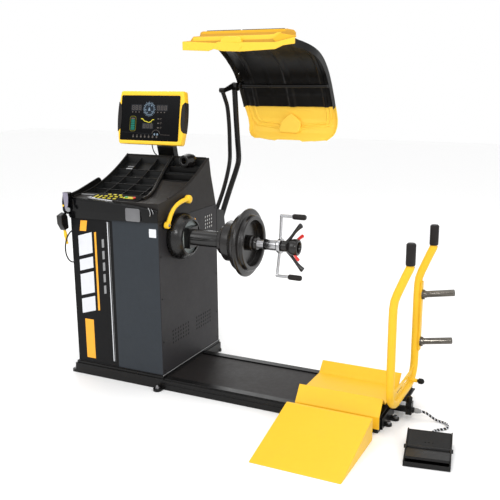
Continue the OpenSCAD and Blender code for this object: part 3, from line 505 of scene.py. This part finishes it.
def lerpn(tab, t):
    """piecewise linear table [(t, value...)]"""
    for a, b in zip(tab, tab[1:]):
        if t <= b[0]:
            k = (t - a[0]) / (b[0] - a[0]) if b[0] > a[0] else 0
            k = max(0.0, min(1.0, k))
            return [a[i] + (b[i] - a[i]) * k for i in range(1, len(a))]
    return list(tab[-1][1:])


def sstep(a, b, x):
    t = max(0.0, min(1.0, (x - a) / (b - a)))
    return t * t * (3 - 2 * t)


# ---------------------------------------------------------------- display head: bowed sides, rounded edges
def disp_half(z):
    """half width of the head at height z: bowed out at the middle"""
    t = z / 145.0
    return 201 + 14 * (1 - t * t)


def head_outline(inset_, yy):
    pts = []
    n = 14
    r = 11
    top, bot = 145 - inset_, -145 + inset_
    for i in range(n + 1):
        z = bot + r + (top - bot - 2 * r) * i / n
        pts.append((disp_half(z) - inset_, z))
    for i in range(1, 6):
        a = math.radians(90 * i / 5)
        pts.append((disp_half(top - r) - inset_ - r + r * math.cos(a), top - r + r * math.sin(a)))
    L = [(-x, z) for x, z in reversed(pts)]
    R = pts
    # lower corners
    low = []
    for i in range(1, 6):
        a = math.radians(-90 + 90 * (i - 1) / 5)
        low.append((disp_half(bot + r) - inset_ - r + r * math.cos(a), bot + r + r * math.sin(a)))
    Ll = [(-x, z) for x, z in reversed(low)]
    return R + L + Ll + low


bm = bmesh.new()
rings = []


def opening(pts, k):
    """the window in the bezel: straight sided, a little left of the middle"""
    return [(-7.9 + x * (189.2 + k) / (disp_half(z) - 19), -2.1 + z * (122.8 + k) / 126.0) for x, z in pts]


for inset_, yy in ((26, 7), (20.5, 7), (19.0, 1.5), (17.5, 0.2), (6, 0.0), (2.2, 1.6), (0.4, 6), (0, 14), (0, 36), (2, 41), (24, 66), (30, 71), (60, 72)):
    o_ = head_outline(inset_, yy)
    if inset_ in (26, 20.5, 19.0, 17.5):
        o_ = opening(head_outline(19, yy), {26: -8, 20.5: -0.5, 19.0: 0, 17.5: 1.6}[inset_])
    rings.append([bm.verts.new(TD((x, yy, z))) for x, z in o_])
for A, B in zip(rings, rings[1:]):
    n = len(A)
    for k in range(n):
        bm.faces.new((A[k], A[(k + 1) % n], B[(k + 1) % n], B[k]))
bm.faces.new(rings[-1])
bm.faces.new(list(reversed(rings[0])))
head = from_bm("head_shell", bm, YELP, "base", ang=40)
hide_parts("display_housing")
gl = prism("head_glass", rbox((-197.0, -124.6), (181.2, 120.4), 7), 1.2, 6.8, GLASS, "base", axis="Y", bevel=0.8, T=TD)
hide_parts("display_glass")
# dark grips let into the bowed sides
for s in (-1, 1):
    pts = []
    for i in range(13):
        z = -78 + 162 * i / 12
        pts.append((s * (disp_half(z) + 0.8), z))
    inner = []
    for i in range(13):
        t = i / 12
        z = 84 - 162 * t
        w_ = 25 * min(1.0, (math.sin(math.pi * t)) ** 0.35 + 0.02)
        inner.append((s * (disp_half(z) + 0.8 - w_), z))
    g = prism("bezel_grip%d" % s, pts + inner, -1.2, 40, GRP, "base", axis="Y", bevel=3.0, seg=3, T=TD)

# ---------------------------------------------------------------- guard: caps and shell details
LIPB = [(-88, 1712), (64, 1705), (94, 1715), (128, 1714), (142, 1704), (248, 1700), (441, 1709), (482, 1726), (545, 1733)]
LIPT = [(-88, 1756), (109, 1744), (124, 1750), (222, 1745), (440, 1742), (545, 1764)]


def cap_piece(name, outline, y0, y1, m_, bevel=2.5):
    return prism(name, outline, y0, y1, m_, "guard", axis="Y", bevel=bevel, seg=3)


ct = cap_piece("cap_lip", LIPB + [(x, z) for x, z in reversed(LIPT)], 421, 432, YELH)
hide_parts("guard_cap_top")


def cap_roof(u, v):
    # top skin behind the lip: rises in two steps to the raised panel over the shell
    y = 427 + (566 - 427) * v
    xl = lerpn([(427, -84), (445, -62), (452, -40), (500, -22), (508, -8), (566, 20)], y)[0]
    xr = lerpn([(427, 544), (452, 542), (500, 520), (506, 466), (566, 452)], y)[0]
    x = xl + (xr - xl) * u
    zt = lerpn(LIPT, x)[0]
    z = lerpn([(427, 0), (448, 5), (451, 25), (455, 29), (497, 32), (501, 52), (505, 56), (548, 59), (566, 30)], y)[0]
    z = z + (1748 if y > 449 else zt - 3)
    if x > 424:
        k = sstep(424, 452, x)
        zs_ = zt - 2 + (y - 427) * 0.30
        if y <= 498:
            z = z * (1 - k) + min(zs_, z + 4) * k
    return (x, y, min(z, 1811.0))


# the roof takes the darker hood yellow: painted shade
grid("cap_roof", cap_roof, 90, 60, YEL_TOP_SHADED, "guard", thick=4, off=1.0, ang=28)
cap_piece("cap_slab1", [(-40, 1756), (-36, 1774), (-30, 1777), (395, 1779), (424, 1781), (440, 1788), (462, 1790), (462, 1781), (444, 1774), (428, 1762), (400, 1757)], 445, 456, YELH, 2)
# the upper slab and the end piece take the mid-dark hood yellow: painted shade
cap_piece("cap_slab2", [(-14, 1780), (-10, 1800), (2, 1806), (452, 1808), (464, 1804), (468, 1790), (452, 1784), (420, 1782)], 496, 508, YEL_STEP_SHADED, 2)
cap_piece("cap_end", [(424, 1758), (440, 1742), (545, 1764), (545, 1770), (500, 1778), (462, 1784)], 434, 446, YEL_STEP_SHADED, 1.5)
bump_o = [(133, 1744), (140, 1766), (160, 1774), (196, 1777), (232, 1774), (250, 1766), (256, 1744)]
cap_piece("cap_boss", bump_o, 423, 462, YELH, 4)
cap_piece("cap_key", [(94, 1716), (142, 1705), (236, 1701), (262, 1724), (222, 1744), (124, 1748), (106, 1738)], 419.2, 424, YELH, 1.5)
# dark skin line over the raised panel, with a notch over the boss
cap_piece("cap_edge_l", [(4, 1801), (10, 1811.6), (206, 1811.6), (204, 1801)], 512, 520, BLKP, 1.0)
cap_piece("cap_edge_r", [(222, 1801), (216, 1811.6), (452, 1811.6), (458, 1801)], 512, 520, BLKP, 1.0)

LOWL = [(0.0, -25), (0.3, -20), (0.6, -12), (0.8, -6), (0.88, 2), (0.95, 16), (1.0, 46)]
LOWR = [(0.0, 549), (0.35, 549), (0.55, 548), (0.8, 542), (0.90, 532), (1.0, 500)]
LOWB = [(-60, 1226), (0, 1226), (60, 1217), (169, 1203), (184, 1211), (326, 1211), (344, 1201), (420, 1208), (510, 1217), (560, 1234)]


def seg_d(px_, pz, a, b):
    ax, az = a
    bx, bz = b
    t = max(0.0, min(1.0, ((px_ - ax) * (bx - ax) + (pz - az) * (bz - az)) / ((bx - ax) ** 2 + (bz - az) ** 2)))
    return math.hypot(px_ - ax - t * (bx - ax), pz - az - t * (bz - az))


FR1 = [(-2, 1402), (4, 1330), (34, 1291), (195, 1273), (320, 1273), (492, 1295), (504, 1330), (506, 1402)]
FR2 = [(28, 1402), (34, 1335), (54, 1312), (200, 1296), (330, 1296), (474, 1308), (482, 1335), (484, 1402)]
PEN = [(262, 1362), (204, 1312), (190, 1258), (202, 1243), (298, 1243), (326, 1264), (330, 1312)]


def inside(p, poly):
    c = False
    j = len(poly) - 1
    for i in range(len(poly)):
        if (poly[i][1] > p[1]) != (poly[j][1] > p[1]) and p[0] < (poly[j][0] - poly[i][0]) * (p[1] - poly[i][1]) / (poly[j][1] - poly[i][1]) + poly[i][0]:
            c = not c
        j = i
    return c


def cap_low(u, v):
    xl = lerpn(LOWL, v)[0]
    xr = lerpn(LOWR, v)[0]
    x = xl + (xr - xl) * u
    zb = lerpn(LOWB, x)[0]
    z = 1404 + (zb - 1404) * v
    y = lerpn([(1208, 1022), (1225, 1034), (1250, 1056), (1290, 1074), (1330, 1072), (1370, 1056), (1404, 1036)], z)[0]
    # shallow channel lines and the pentagon pocket
    for F, dpt, wd in ((FR1, 8.0, 7.5), (FR2, 7.0, 6.5)):
        d = min(seg_d(x, z, a, b) for a, b in zip(F, F[1:]))
        y -= dpt * max(0.0, 1 - (d / wd) ** 2)
    if inside((x, z), PEN):
        d = min(seg_d(x, z, a, b) for a, b in zip(PEN, PEN[1:] + PEN[:1]))
        y -= 6 * sstep(0, 22, d)
        if z < 1285:
            y -= 10 * sstep(0, 16, d) * sstep(1285, 1262, z) if False else 6 * sstep(0, 10, d)
    e = min(u, 1 - u)
    y -= 26 * (1 - sstep(0, 0.035, e))
    return (x, y, z)


# the low cap takes the lighter hood yellow: painted light
cl = grid("cap_low", cap_low, 170, 90, YEL_LOW_LIT, "guard", thick=4, off=1.0, ang=30)
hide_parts("guard_cap_low")
# the pentagon block also takes the lighter hood yellow: painted light
prism("cap_block", [(266, 1361), (236, 1342), (203, 1312), (199, 1300), (187, 1262), (192, 1251), (300, 1247), (318, 1258), (327, 1306), (322, 1318)], 1036, 1060, YEL_LOW_LIT, "guard", axis="Y", bevel=7, seg=3)
for i, x in enumerate((24, 236, 450)):
    screw("cap_screw%d" % i, (x, 1022, 1414), (0, -0.93, -0.36), 6.5, body="guard", m=DST, h=3)

GPO = [(430, 1790), (500, 1782), (560, 1766), (620, 1750), (673, 1733), (735, 1710), (790, 1688), (835, 1662), (873, 1632), (906, 1600), (935, 1563), (962, 1523), (986, 1482), (1008, 1443), (1026, 1405)]
GPS = [tuple(p)[:2] for p in smooth_pts([(a, b, 0) for a, b in GPO], 5)]


def gp_at(v, d):
    f = v * (len(GPS) - 1)
    i = min(int(f), len(GPS) - 2)
    k = f - i
    a, b = GPS[i], GPS[i + 1]
    y, z = a[0] + (b[0] - a[0]) * k, a[1] + (b[1] - a[1]) * k
    a2, b2 = GPS[max(i - 1, 0)], GPS[min(i + 2, len(GPS) - 1)]
    ty, tz = b2[0] - a2[0], b2[1] - a2[1]
    n = math.hypot(ty, tz)
    return y + d * tz / n, z - d * ty / n


RIBX = [(58, 16), (160, 12), (172, 12), (286, 26), (400, 12), (412, 12), (492, 16)]


def shell_v(x, v):
    """the shell starts under the cap's raised panel"""
    v0 = 0.088
    return v0 + (1 - v0) * v


def shell_in(u, v):
    xl = 8 - 33 * sstep(0.1, 0.45, v)
    xr = 542 - 58 * (1 - sstep(0.0, 0.32, v))
    x = xl + (xr - xl) * u
    v = shell_v(x, v)
    d = 3.0
    for rx, rw in RIBX:
        q = abs(x - rx)
        if q < rw:
            d += 6.0 * sstep(rw, rw * 0.45, q) if rw > 13 else -1.5 * sstep(rw, 0, q)
    e = min(x - xl, xr - x)
    d += (22 + 12 * (x > 200)) * (1 - sstep(0, 16, e))
    if v > 0.86:
        d += 5 * sstep(0.86, 0.885, v) * sstep(30, 44, e)
    y, z = gp_at(v, d)
    return (x, y, z)


def shell_out(u, v):
    xl = 5 - 33 * sstep(0.1, 0.45, v)
    x = xl + (545 - 58 * (1 - sstep(0.0, 0.32, v)) - xl) * u
    v = shell_v(x, v)
    d = 0.4
    for rx, rw in RIBX:
        q = abs(x - rx)
        if q < rw and rw > 13:
            d += 2.0 * sstep(rw, rw * 0.5, q)
    y, z = gp_at(v, d)
    return (x, y, z)


bm = bmesh.new()
NU, NV = 110, 70
VI = [[bm.verts.new(P(*shell_in(i / NU, j / NV))) for j in range(NV + 1)] for i in range(NU + 1)]
VO = [[bm.verts.new(P(*shell_out(i / NU, j / NV))) for j in range(NV + 1)] for i in range(NU + 1)]
for G in (VI, VO):
    for i in range(NU):
        for j in range(NV):
            q = (G[i][j], G[i + 1][j], G[i + 1][j + 1], G[i][j + 1])
            bm.faces.new(q if G is VI else tuple(reversed(q)))
for j in range(NV):
    bm.faces.new((VI[0][j], VI[0][j + 1], VO[0][j + 1], VO[0][j]))
    bm.faces.new((VI[NU][j + 1], VI[NU][j], VO[NU][j], VO[NU][j + 1]))
for i in range(NU):
    bm.faces.new((VI[i + 1][0], VI[i][0], VO[i][0], VO[i + 1][0]))
    bm.faces.new((VI[i][NV], VI[i + 1][NV], VO[i + 1][NV], VO[i][NV]))
gs = from_bm("guard_skin", bm, BLKP, "guard", ang=30)
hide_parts("guard_shell")
# mounting bracket at the cross rod's left end and screws along the edge
prism("guard_bracket", [(880, 1512), (896, 1538), (930, 1548), (944, 1530), (930, 1504), (896, 1500)], 3.0, 12.0, BLK, "guard", bevel=1.5)
screw("guard_scr0", (14, 868, 1590), (1, -0.1, -0.2), 5.5, body="guard", m=CHR)
for i, (y, z) in enumerate(((930, 1500), (905, 1550))):
    screw("guard_scr%d" % (i + 1), (12, y, z), (1, 0, 0), 5.0, body="guard", m=DST)

# ---------------------------------------------------------------- weight tray: rolled rims, dividing ridge, fixed shelf
def ridge_x(y):
    return lerpn([(60, -128), (118, -130), (200, -152), (300, -186), (400, -212), (525, -226)], y)[0]


pts = [(ridge_x(y), y, rimz(y) + 2) for y in range(60, 526, 12)]
tube("tray_ridge", pts, 11, BLKP, "base", seg=18)
pts = [(-531, y, rimz(y) + 1) for y in range(18, 526, 12)]
tube("tray_rim_left", pts, 6.5, BLKP, "base", seg=14)
pts = [(-10, y, rimz(y) - 0.5) for y in range(110, 526, 12)]
tube("tray_rim_right", pts, 4.5, BRN, "base", seg=14)
tube("tray_rim_back", [(x, 520, rimz(520) - 1) for x in range(-534, -8, 12)], 6.5, BLKP, "base", seg=14)


def shelf(u, v):
    y = 112 + (330 - 112) * v
    x0, x1 = ridge_x(y), -9
    return (x0 + (x1 - x0) * u, y, rimz(y) - 3.5 - 3 * math.sin(math.pi * u) ** 0.8)


grid("tray_shelf", shelf, 20, 30, BRN, "base", thick=2.5, off=-1)
for k, yy in enumerate((330, 388, 450)):
    prism("tray_step%d" % k, [(yy, rimz(yy) - 34), (yy + 6, rimz(yy) - 34), (yy + 6, rimz(yy) - 2), (yy, rimz(yy) - 2)], ridge_x(yy) + 6, -15, BLKP, "base", bevel=2.5, seg=3)
for k, yy in enumerate((160, 237, 308)):
    pass
# soft rolled tops on the pocket walls
for k, xx in enumerate((-430.5, -320.5)):
    tube("wall_top_x%d" % k, [(xx, y, rimz(y) - 9) for y in range(121, 510, 12)], 3.2, BLKP, "base", seg=10)
for k, yy in enumerate((201.5, 273.5, 343.5, 413.5)):
    x1 = ridge_x(yy) - 8
    tube("wall_top_y%d" % k, [(-526 + (x1 + 526) * t / 12, yy, rimz(yy) - 9) for t in range(13)], 3.2, BLKP, "base", seg=10)
# pressed clip weights and a bag of adhesive strips lying in the pockets
for k, (x, y, L, m_) in enumerate(((-500, 452, 58, WHT), (-500, 470, 52, LGREY), (-398, 380, 10, WHT), (-492, 232, 46, LGREY), (-290, 300, 16, LGREY))):
    prism("weight%d" % k, rbox((x, y), (x + L, y + 9), 3), rimz(y) - 35.5, rimz(y) - 29, m_, "base", axis="Z", bevel=1.5)
prism("strip_front", rbox((-522, 70), (-440, 82), 3), rimz(76) + 0.4, rimz(76) + 5, LGREY, "base", axis="Z", bevel=1.2)
# raised wing at the left front of the tray
prism("tray_wing", [(4, 976), (4, 992), (60, 1000), (150, 1022), (232, 1043), (246, 1045), (262, 1034), (270, 1012), (262, 990), (150, 978)], -540, -532, BLKP, "base", bevel=2.5, seg=3)

# spare centring cone resting in the right-hand top pocket
cone = lathe("spare_cone", (-100, 424, 1132), (0.09, 0.95, -0.05), [(10, 15), (0, 16), (-2, 18.5), (-2, 29), (0, 32.5), (10, 34.5), (24, 36), (31, 39.5), (60, 40), (68, 38), (70, 30), (70, 15), (10, 15)], DST, "base", seg=64)
lathe("spare_cone_rim", (-100.3, 421.6, 1132.1), (0.09, 0.95, -0.05), [(0, 19), (0, 27), (1.2, 27), (1.2, 19), (0, 19)], GLS, "base", seg=64)

# ---------------------------------------------------------------- keypad
def kz(y):
    """the panel leans towards the front"""
    return 972.0 + (y - 8) * 0.165


def key(name, x, y, w_, h_, m_, hh=3.2):
    return prism(name, rbox((x - w_ / 2, y - h_ / 2), (x + w_ / 2, y + h_ / 2), min(w_, h_) * 0.25), -0.5, hh, m_, "base", axis="Z", bevel=0.8, T=lambda v: P(v[0], v[1], kz(v[1]) + v[2]))


kp = prism("keypad_plate", rbox((-424, 8), (-128, 108), 10), 976.2, 977.4, PADK, "base", axis="Z", bevel=0.6, T=lambda v: P(v[0], v[1], kz(v[1]) + (v[2] - 976.2) * 2.0 - 2.6))
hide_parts("keypad_panel")
key("bar_key_a", -402, 42, 10, 42, KEYM)
key("bar_key_b", -374, 36, 10, 42, KEYM)
for i, (x, y) in enumerate(((-345, 84), (-312, 84), (-279, 84), (-350, 56), (-318, 56), (-286, 56), (-342, 26), (-309, 26), (-276, 26), (-254, 56))):
    key("key%d" % i, x, y, 18, 11, KEYM)
key("key_field", -208, 60, 66, 30, KEYM, 1.0)

# ---------------------------------------------------------------- front lip: bulged gloss moulding
def lipf(u, v):
    # v runs from the bottom front edge up, over the roll and back to the panel
    x = -546 + 548 * u
    top = lerpn([(-546, 974), (-521, 973), (-300, 968), (-116, 957), (-60, 950), (9, 940)], x)[0]
    bot = lerpn([(-546, 862), (9, 876)], x)[0]
    sec = [(0, 0, 0.0), (0.10, -12, 0.02), (0.45, -17, 0.40), (0.72, -20, 0.80), (0.82, -21, 0.93), (0.90, -15, 1.0), (0.95, -4, 1.0), (1.0, 10, 0.97)]
    y, k = lerpn(sec, v)
    c = 1 - (2 * u - 1) ** 4
    y2 = y * (0.45 + 0.62 * c) if y < 0 else y
    return (x, y2, bot + (top - bot) * k)


lp = grid("front_lip_skin", lipf, 80, 40, GLS, "base", thick=3, off=-1.0, ang=45)
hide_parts("front_lip")
prism("lip_patch", rbox((-178, 878), (-92, 944), 8), -23.2, -19.2, PATCH, "base", axis="Y", bevel=1.2, seg=3)
# gauge pliers lying on the lip
tube("plier_a", smooth_pts([(-416, -8, 976), (-390, -16, 978), (-350, -17, 977), (-300, -15, 974), (-262, -11, 971)], 5), 3.2, CHR, "base", seg=10)
tube("plier_b", smooth_pts([(-424, 2, 979), (-398, -8, 981), (-372, -7, 979)], 5), 3.4, CHR, "base", seg=10)
lathe("plier_joint", (-398, -10, 978), (0, 0, 1), [(0, 7), (6, 7), (8, 5), (8, 0)], CHR, "base", seg=24)
# chrome wire hook at the right-hand corner
tube("hook0", smooth_pts([(-46, -12, 948), (-42, -20, 952), (-34, -22, 942), (-30, -21, 926), (-34, -20, 912)], 5), 2.2, CHR, "base", seg=8)
tube("hook1", smooth_pts([(-28, -12, 944), (-24, -20, 948), (-16, -21, 936), (-14, -20, 924)], 5), 1.8, STEEL, "base", seg=8)

# ---------------------------------------------------------------- gauge arm
GA = smooth_pts([(20, 50, 858), (20, 66, 874), (20, 88, 906), (20, 122, 934), (20, 166, 951), (20, 214, 958), (20, 256, 959)], 6)
ga = tube("gauge_bar", GA, 10, YELP, "gauge_swing", seg=20, radii=[10 + 2.5 * abs(2 * i / (len(GA) - 1) - 1) for i in range(len(GA))])
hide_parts("gauge_arm")
lathe("gauge_knob", (3, 262, 958), (1, 0, 0), [(0, 10), (2, 17), (6, 21), (12, 22), (22, 22), (28, 20.5), (32, 16), (33.5, 8), (33.5, 0)], YELP, "gauge_swing", seg=40)
for i in range(3):
    s_ = 0.2 + 0.18 * i
    p = GA[int(s_ * (len(GA) - 1))]
    tube("gauge_notch%d" % i, [(31.5, p[1] - 8, p[2] - 2), (33, p[1] + 2, p[2] + 5)], 2.0, YELP, "gauge_swing", seg=8)
lathe("gauge_foot", (8.8, 52, 858), (1, 0, 0), [(0, 8.3), (0, 14), (2, 17), (20, 17), (23, 14), (23, 8.3), (0, 8.3)], YELP, "gauge_swing", seg=32)
lathe("gauge_bush", (0.2, 52, 858), (1, 0, 0), [(0, 9.2), (0, 20), (3, 20), (5, 16), (5, 9.2), (0, 9.2)], BLKP, "base", seg=32)

# ---------------------------------------------------------------- shroud: bulged moulding with a dent, and its screws
def shroud_f(u, v):
    a = 2 * math.pi * u
    prof = [(0, 112.5, 0.4), (0.10, 119, 4), (0.22, 121, 16), (0.36, 121, 30), (0.5, 118, 44), (0.63, 112, 57), (0.76, 104, 68), (0.87, 96, 76), (0.95, 90, 79), (1.0, 86, 79)]
    r, x = lerpn(prof, v)
    c, s = math.cos(a), math.sin(a)
    dent = 0.0
    for a0, w_ in ((-94, 13),):
        d = abs((math.degrees(a) - a0 + 180) % 360 - 180)
        dent += (1 - sstep(0, w_, d))
    dent *= sstep(0.25, 0.5, v) * (1 - sstep(0.86, 1.0, v))
    x -= 4 * dent
    r -= 6 * dent
    return (x, YS + r * c, ZS + r * s)


sh = grid("shroud_skin", shroud_f, 120, 40, SHR, "base", thick=3, off=-1.0, ang=50)
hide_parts("shroud")
# the first screw is orange as a painted reflection; the other three are black lacquer
for k, a in enumerate((60, 118, 240, 300)):
    a = math.radians(a)
    screw("shroud_scr%d" % k, (74.5, YS + 97.5 * math.cos(a), ZS + 97.5 * math.sin(a)), (1, 0.3 * math.cos(a), 0.3 * math.sin(a)), 4.5, m=ORG if k == 0 else DST)

# ---------------------------------------------------------------- tools hung on the left side
cal = prism("caliper_body", [(-24, 1000), (14, 996), (26, 985), (22, 950), (14, 900), (8, 878), (-20, 886), (-34, 905), (-36, 950)], -566, -540, BLKP, "base", bevel=4, seg=3)
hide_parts("rim_caliper")
BLADE = mat("blade_lilac", (0.30, 0.28, 0.36), 0.25, metal=0.6, var=0.12, bump=0.05)
prism("caliper_blade", [(-16, 998), (14, 994), (22, 972), (20, 938), (12, 906), (6, 900), (2, 918), (-4, 950), (-12, 976)], -571, -566.5, BLADE, "base", bevel=1.5, seg=3)
prism("caliper_face", [(-551, 1003), (-520, 1001), (-516, 985), (-520, 940), (-529, 912), (-536, 906), (-541, 925), (-547, 965)], -44.5, -41, BLADE, "base", axis="Y", bevel=1.2, seg=3)
prism("caliper_bridge", [(-44, 1000), (-44, 975), (-30, 965), (-20, 996)], -548, -520, BLKP, "base", bevel=2)
lathe("caliper_knob2", (-520, -42, 914), (0.3, -1, 0), [(0, 11), (4, 12), (7, 10), (8, 6), (8, 0)], LGREY, "base", seg=24)
lathe("caliper_dot", (-553, -38, 932), (0, -1, 0), [(0, 5), (5, 5), (6, 3), (6, 0)], YELP, "base", seg=20)
lathe("caliper_knob", (-566, 2, 916), (-1, 0, 0), [(0, 12), (4, 13), (10, 12), (13, 8), (13, 0)], DST, "base", seg=24)
ham = prism("hammer_head", [(-60, 880), (-20, 892), (-6, 868), (-2, 806), (-34, 798), (-58, 836)], -588, -556, DST, "base", bevel=4, seg=3)
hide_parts("weight_hammer")
tube("hammer_handle", smooth_pts([(-572, -26, 836), (-572, -20, 800), (-572, -12, 760), (-572, -8, 722)], 5), 8, YELP, "base", seg=16, radii=[8 + 1.5 * math.sin(i * 0.9) for i in range(16)])
prism("tool_hook", [(0, 890), (18, 890), (18, 870), (0, 870)], -556, -542.4, BLK, "base", bevel=1.5)
SR = [(29.7, 788), (20, 787), (8, 783), (-4, 776), (-15, 766), (-25, 753), (-33, 738), (-38, 721), (-40, 703), (-39, 685), (-35, 668), (-28, 652), (-18, 638), (-6, 627), (7, 620), (19, 617), (29.7, 616)]
SL = smooth_pts([(-557, y, z) for y, z in SR], 6)
lead = tube("side_lead_skin", SL, 3.5, RUB, "base", seg=18)
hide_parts("side_lead")
DR = [(-330, 467, 1224.5), (-330, 469, 1214), (-330.5, 473, 1200), (-332, 481, 1184), (-334, 493, 1169), (-336, 505, 1158), (-337, 515, 1152), (-338, 524, 1149.5)]
DL = smooth_pts(DR, 6)
dlead = tube("display_lead_skin", DL, 3.0, RUB, "base", seg=18)
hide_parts("display_lead")

# ---------------------------------------------------------------- quick nut, wings and red tabs
qn = lathe("nut_body", (586.3, YS, ZS), (1, 0, 0), [(0, 21.0), (0, 25), (3, 27), (10, 27.5), (20, 26.5), (28, 27), (38, 31), (48, 37), (56, 40.4), (62, 41), (80, 41), (86, 39), (89, 35), (89, 29), (86, 26.5), (56, 26.3), (56, 21.0), (0, 21.0)], DST, "nut", seg=72)
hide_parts("quick_nut")
for s in (1, -1):
    c6, s6 = math.cos(math.radians(6)), math.sin(math.radians(6))
    W = smooth_pts([(616, YS - s6 * s * 24, ZS + s * 24), (640, YS - s6 * s * 54, ZS + s * 53), (662, YS - s6 * s * 84, ZS + s * 82), (684, YS - s6 * s * 108, ZS + s * 106), (693, YS - s6 * s * 115, ZS + s * 113)], 5)
    n = len(W)
    tube("nut_wing%d" % s, W, 9, DST, "nut", seg=20, radii=[9.5 - 2.0 * math.sin(math.pi * min(1.0, i / (n * 0.6))) + 3.2 * sstep(0.55, 0.85, i / (n - 1)) - 4.5 * sstep(0.93, 1.0, i / (n - 1)) for i in range(n)])
    c28, s28 = math.cos(math.radians(28)), math.sin(math.radians(28))

    def RT(v, s=s, c28=c28, s28=s28):
        x, y, z = v
        return P(x, YS + y * c28 + z * s28, ZS - y * s28 + z * c28)

    tb = prism("tab%d" % s, [(649, s * 33), (656, s * 28), (690, s * 56), (686, s * 66), (678, s * 66)], -5.6, 5.6, RED, "lever_up" if s > 0 else "lever_low", axis="Y", bevel=1.2, seg=3, T=RT)
    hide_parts("lever_upper" if s > 0 else "lever_lower")

# ---------------------------------------------------------------- air hose
HP = [(1290, 206, 44), (1304, 207, 43), (1318, 209, 38), (1332, 212, 29), (1346, 215, 19), (1361, 217, 11), (1377, 217, 7.5), (1393, 214, 7),
      (1408, 206, 7), (1419, 193, 7), (1424, 177, 7), (1421, 160, 7), (1412, 146, 7), (1399, 135, 7), (1386, 124, 7), (1377, 110, 7),
      (1373, 94, 7), (1372, 78, 7.5), (1373, 62, 9), (1374.5, 46, 12), (1377, 31, 14.5), (1380, 15, 15)]
HS = smooth_pts(HP, 8)
hose = tube("hose", HS, 5.6, RUB, "base", seg=20)
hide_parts("air_hose")
# spiral strip wound round the hose
bmh = bmesh.new()
Tn = [(HS[min(i + 1, len(HS) - 1)] - HS[max(i - 1, 0)]).normalized() for i in range(len(HS))]
u0 = Tn[0].orthogonal().normalized()
s_acc, prev, rows = 0.0, None, []
K = 6
for i in range(len(HS) - 1):
    for j in range(K):
        t = j / K
        c = HS[i].lerp(HS[i + 1], t)
        tt = Tn[i].lerp(Tn[i + 1], t).normalized()
        u0 = (u0 - tt * u0.dot(tt)).normalized()
        w0 = tt.cross(u0)
        if prev is not None:
            s_acc += (c - prev).length
        prev = c
        a = 2 * math.pi * s_acc / 17.0
        d0 = u0 * math.cos(a) + w0 * math.sin(a)
        rows.append([bmh.verts.new(P(*(c + tt * e + d0 * r))) for e, r in ((-2.6, 5.4), (-2.2, 6.4), (2.2, 6.4), (2.6, 5.4))])
for A, B in zip(rows, rows[1:]):
    for k in range(4):
        bmh.faces.new((A[k], A[(k + 1) % 4], B[(k + 1) % 4], B[k]))
bmh.faces.new(rows[0])
bmh.faces.new(list(reversed(rows[-1])))
spiral = from_bm("hose_spiral", bmh, WHT, "base", ang=50)

lathe("hose_fitting", (1262, 203, 45), (1, 0.06, -0.03), [(0, 0), (0, 11), (3, 12.5), (16, 12.5), (18, 10.5), (24, 10), (28, 8.5), (31, 6.6), (31, 5.4)], LGREY, "base", seg=32)

# ---------------------------------------------------------------- floor, light, camera
floor_m = bpy.data.materials.new("studio_floor")
floor_m.use_nodes = True
fs = floor_m.node_tree.nodes["Principled BSDF"]
fn = floor_m.node_tree.nodes.new("ShaderNodeTexNoise")
fn.inputs["Scale"].default_value = 2.0
fr = floor_m.node_tree.nodes.new("ShaderNodeValToRGB")
fr.color_ramp.elements[0].color = (0.955, 0.955, 0.955, 1)
fr.color_ramp.elements[1].color = (0.975, 0.975, 0.975, 1)
floor_m.node_tree.links.new(fn.outputs[0], fr.inputs[0])
floor_m.node_tree.links.new(fr.outputs[0], fs.inputs["Base Color"])
fs.inputs["Roughness"].default_value = 0.55
bm = bmesh.new()
vs = [bm.verts.new(v) for v in ((-14, -14, -0.0006), (14, -14, -0.0006), (14, 14, -0.0006), (-14, 14, -0.0006))]
bm.faces.new(vs)
me = bpy.data.meshes.new("floor")
bm.to_mesh(me)
bm.free()
floor = bpy.data.objects.new("floor", me)
bpy.context.scene.collection.objects.link(floor)
me.materials.append(floor_m)

bpy.context.scene.view_settings.view_transform = "Standard"
bpy.context.scene.view_settings.look = "None"
w = bpy.data.worlds.new("studio")
bpy.context.scene.world = w
w.use_nodes = True
w.node_tree.nodes["Background"].inputs[0].default_value = (1.0, 1.0, 1.0, 1)
w.node_tree.nodes["Background"].inputs[1].default_value = 1.0


def area(name, loc, target, size, power, sy=None):
    l = bpy.data.lights.new(name, "AREA")
    l.energy = power
    l.size = size
    if sy:
        l.shape = "RECTANGLE"
        l.size_y = sy
    o = bpy.data.objects.new(name, l)
    o.location = loc
    o.rotation_mode = "QUATERNION"
    o.rotation_quaternion = (Vector(target) - Vector(loc)).to_track_quat("-Z", "Y")
    bpy.context.scene.collection.objects.link(o)
    return o


area("key", (-2.2, -3.6, 3.6), (0, 0, 0.7), 2.4, 48)
area("fill", (4.2, -2.2, 2.4), (0.2, 0, 0.7), 2.6, 42)
area("top", (0.3, 0.4, 4.2), (0.1, 0, 0.5), 3.2, 34)
area("strip", (0.9, -3.0, 2.5), (0.1, -0.1, 0.85), 0.35, 26, sy=0.35)
area("rim", (-2.6, 3.4, 2.6), (0, 0, 1.0), 2.2, 25)

cam = bpy.data.cameras.new("cam")
co = bpy.data.objects.new("cam", cam)
bpy.context.scene.collection.objects.link(co)
bpy.context.scene.camera = co
cam.sensor_width = 36.0
cam.lens = 54.86
cam.clip_end = 100
yaw, pit, roll = math.radians(26.257), math.radians(13.28), math.radians(-0.417)
fwd = Vector((-math.sin(yaw) * math.cos(pit), math.cos(yaw) * math.cos(pit), -math.sin(pit)))
right = Vector((math.cos(yaw), math.sin(yaw), 0.0))
up = right.cross(fwd)
r2 = right * math.cos(roll) + up * math.sin(roll)
u2 = -right * math.sin(roll) + up * math.cos(roll)
co.rotation_mode = "QUATERNION"
co.rotation_quaternion = Matrix((r2, u2, -fwd)).transposed().to_quaternion()
co.location = (1.576244, -3.4038, 1.6085)
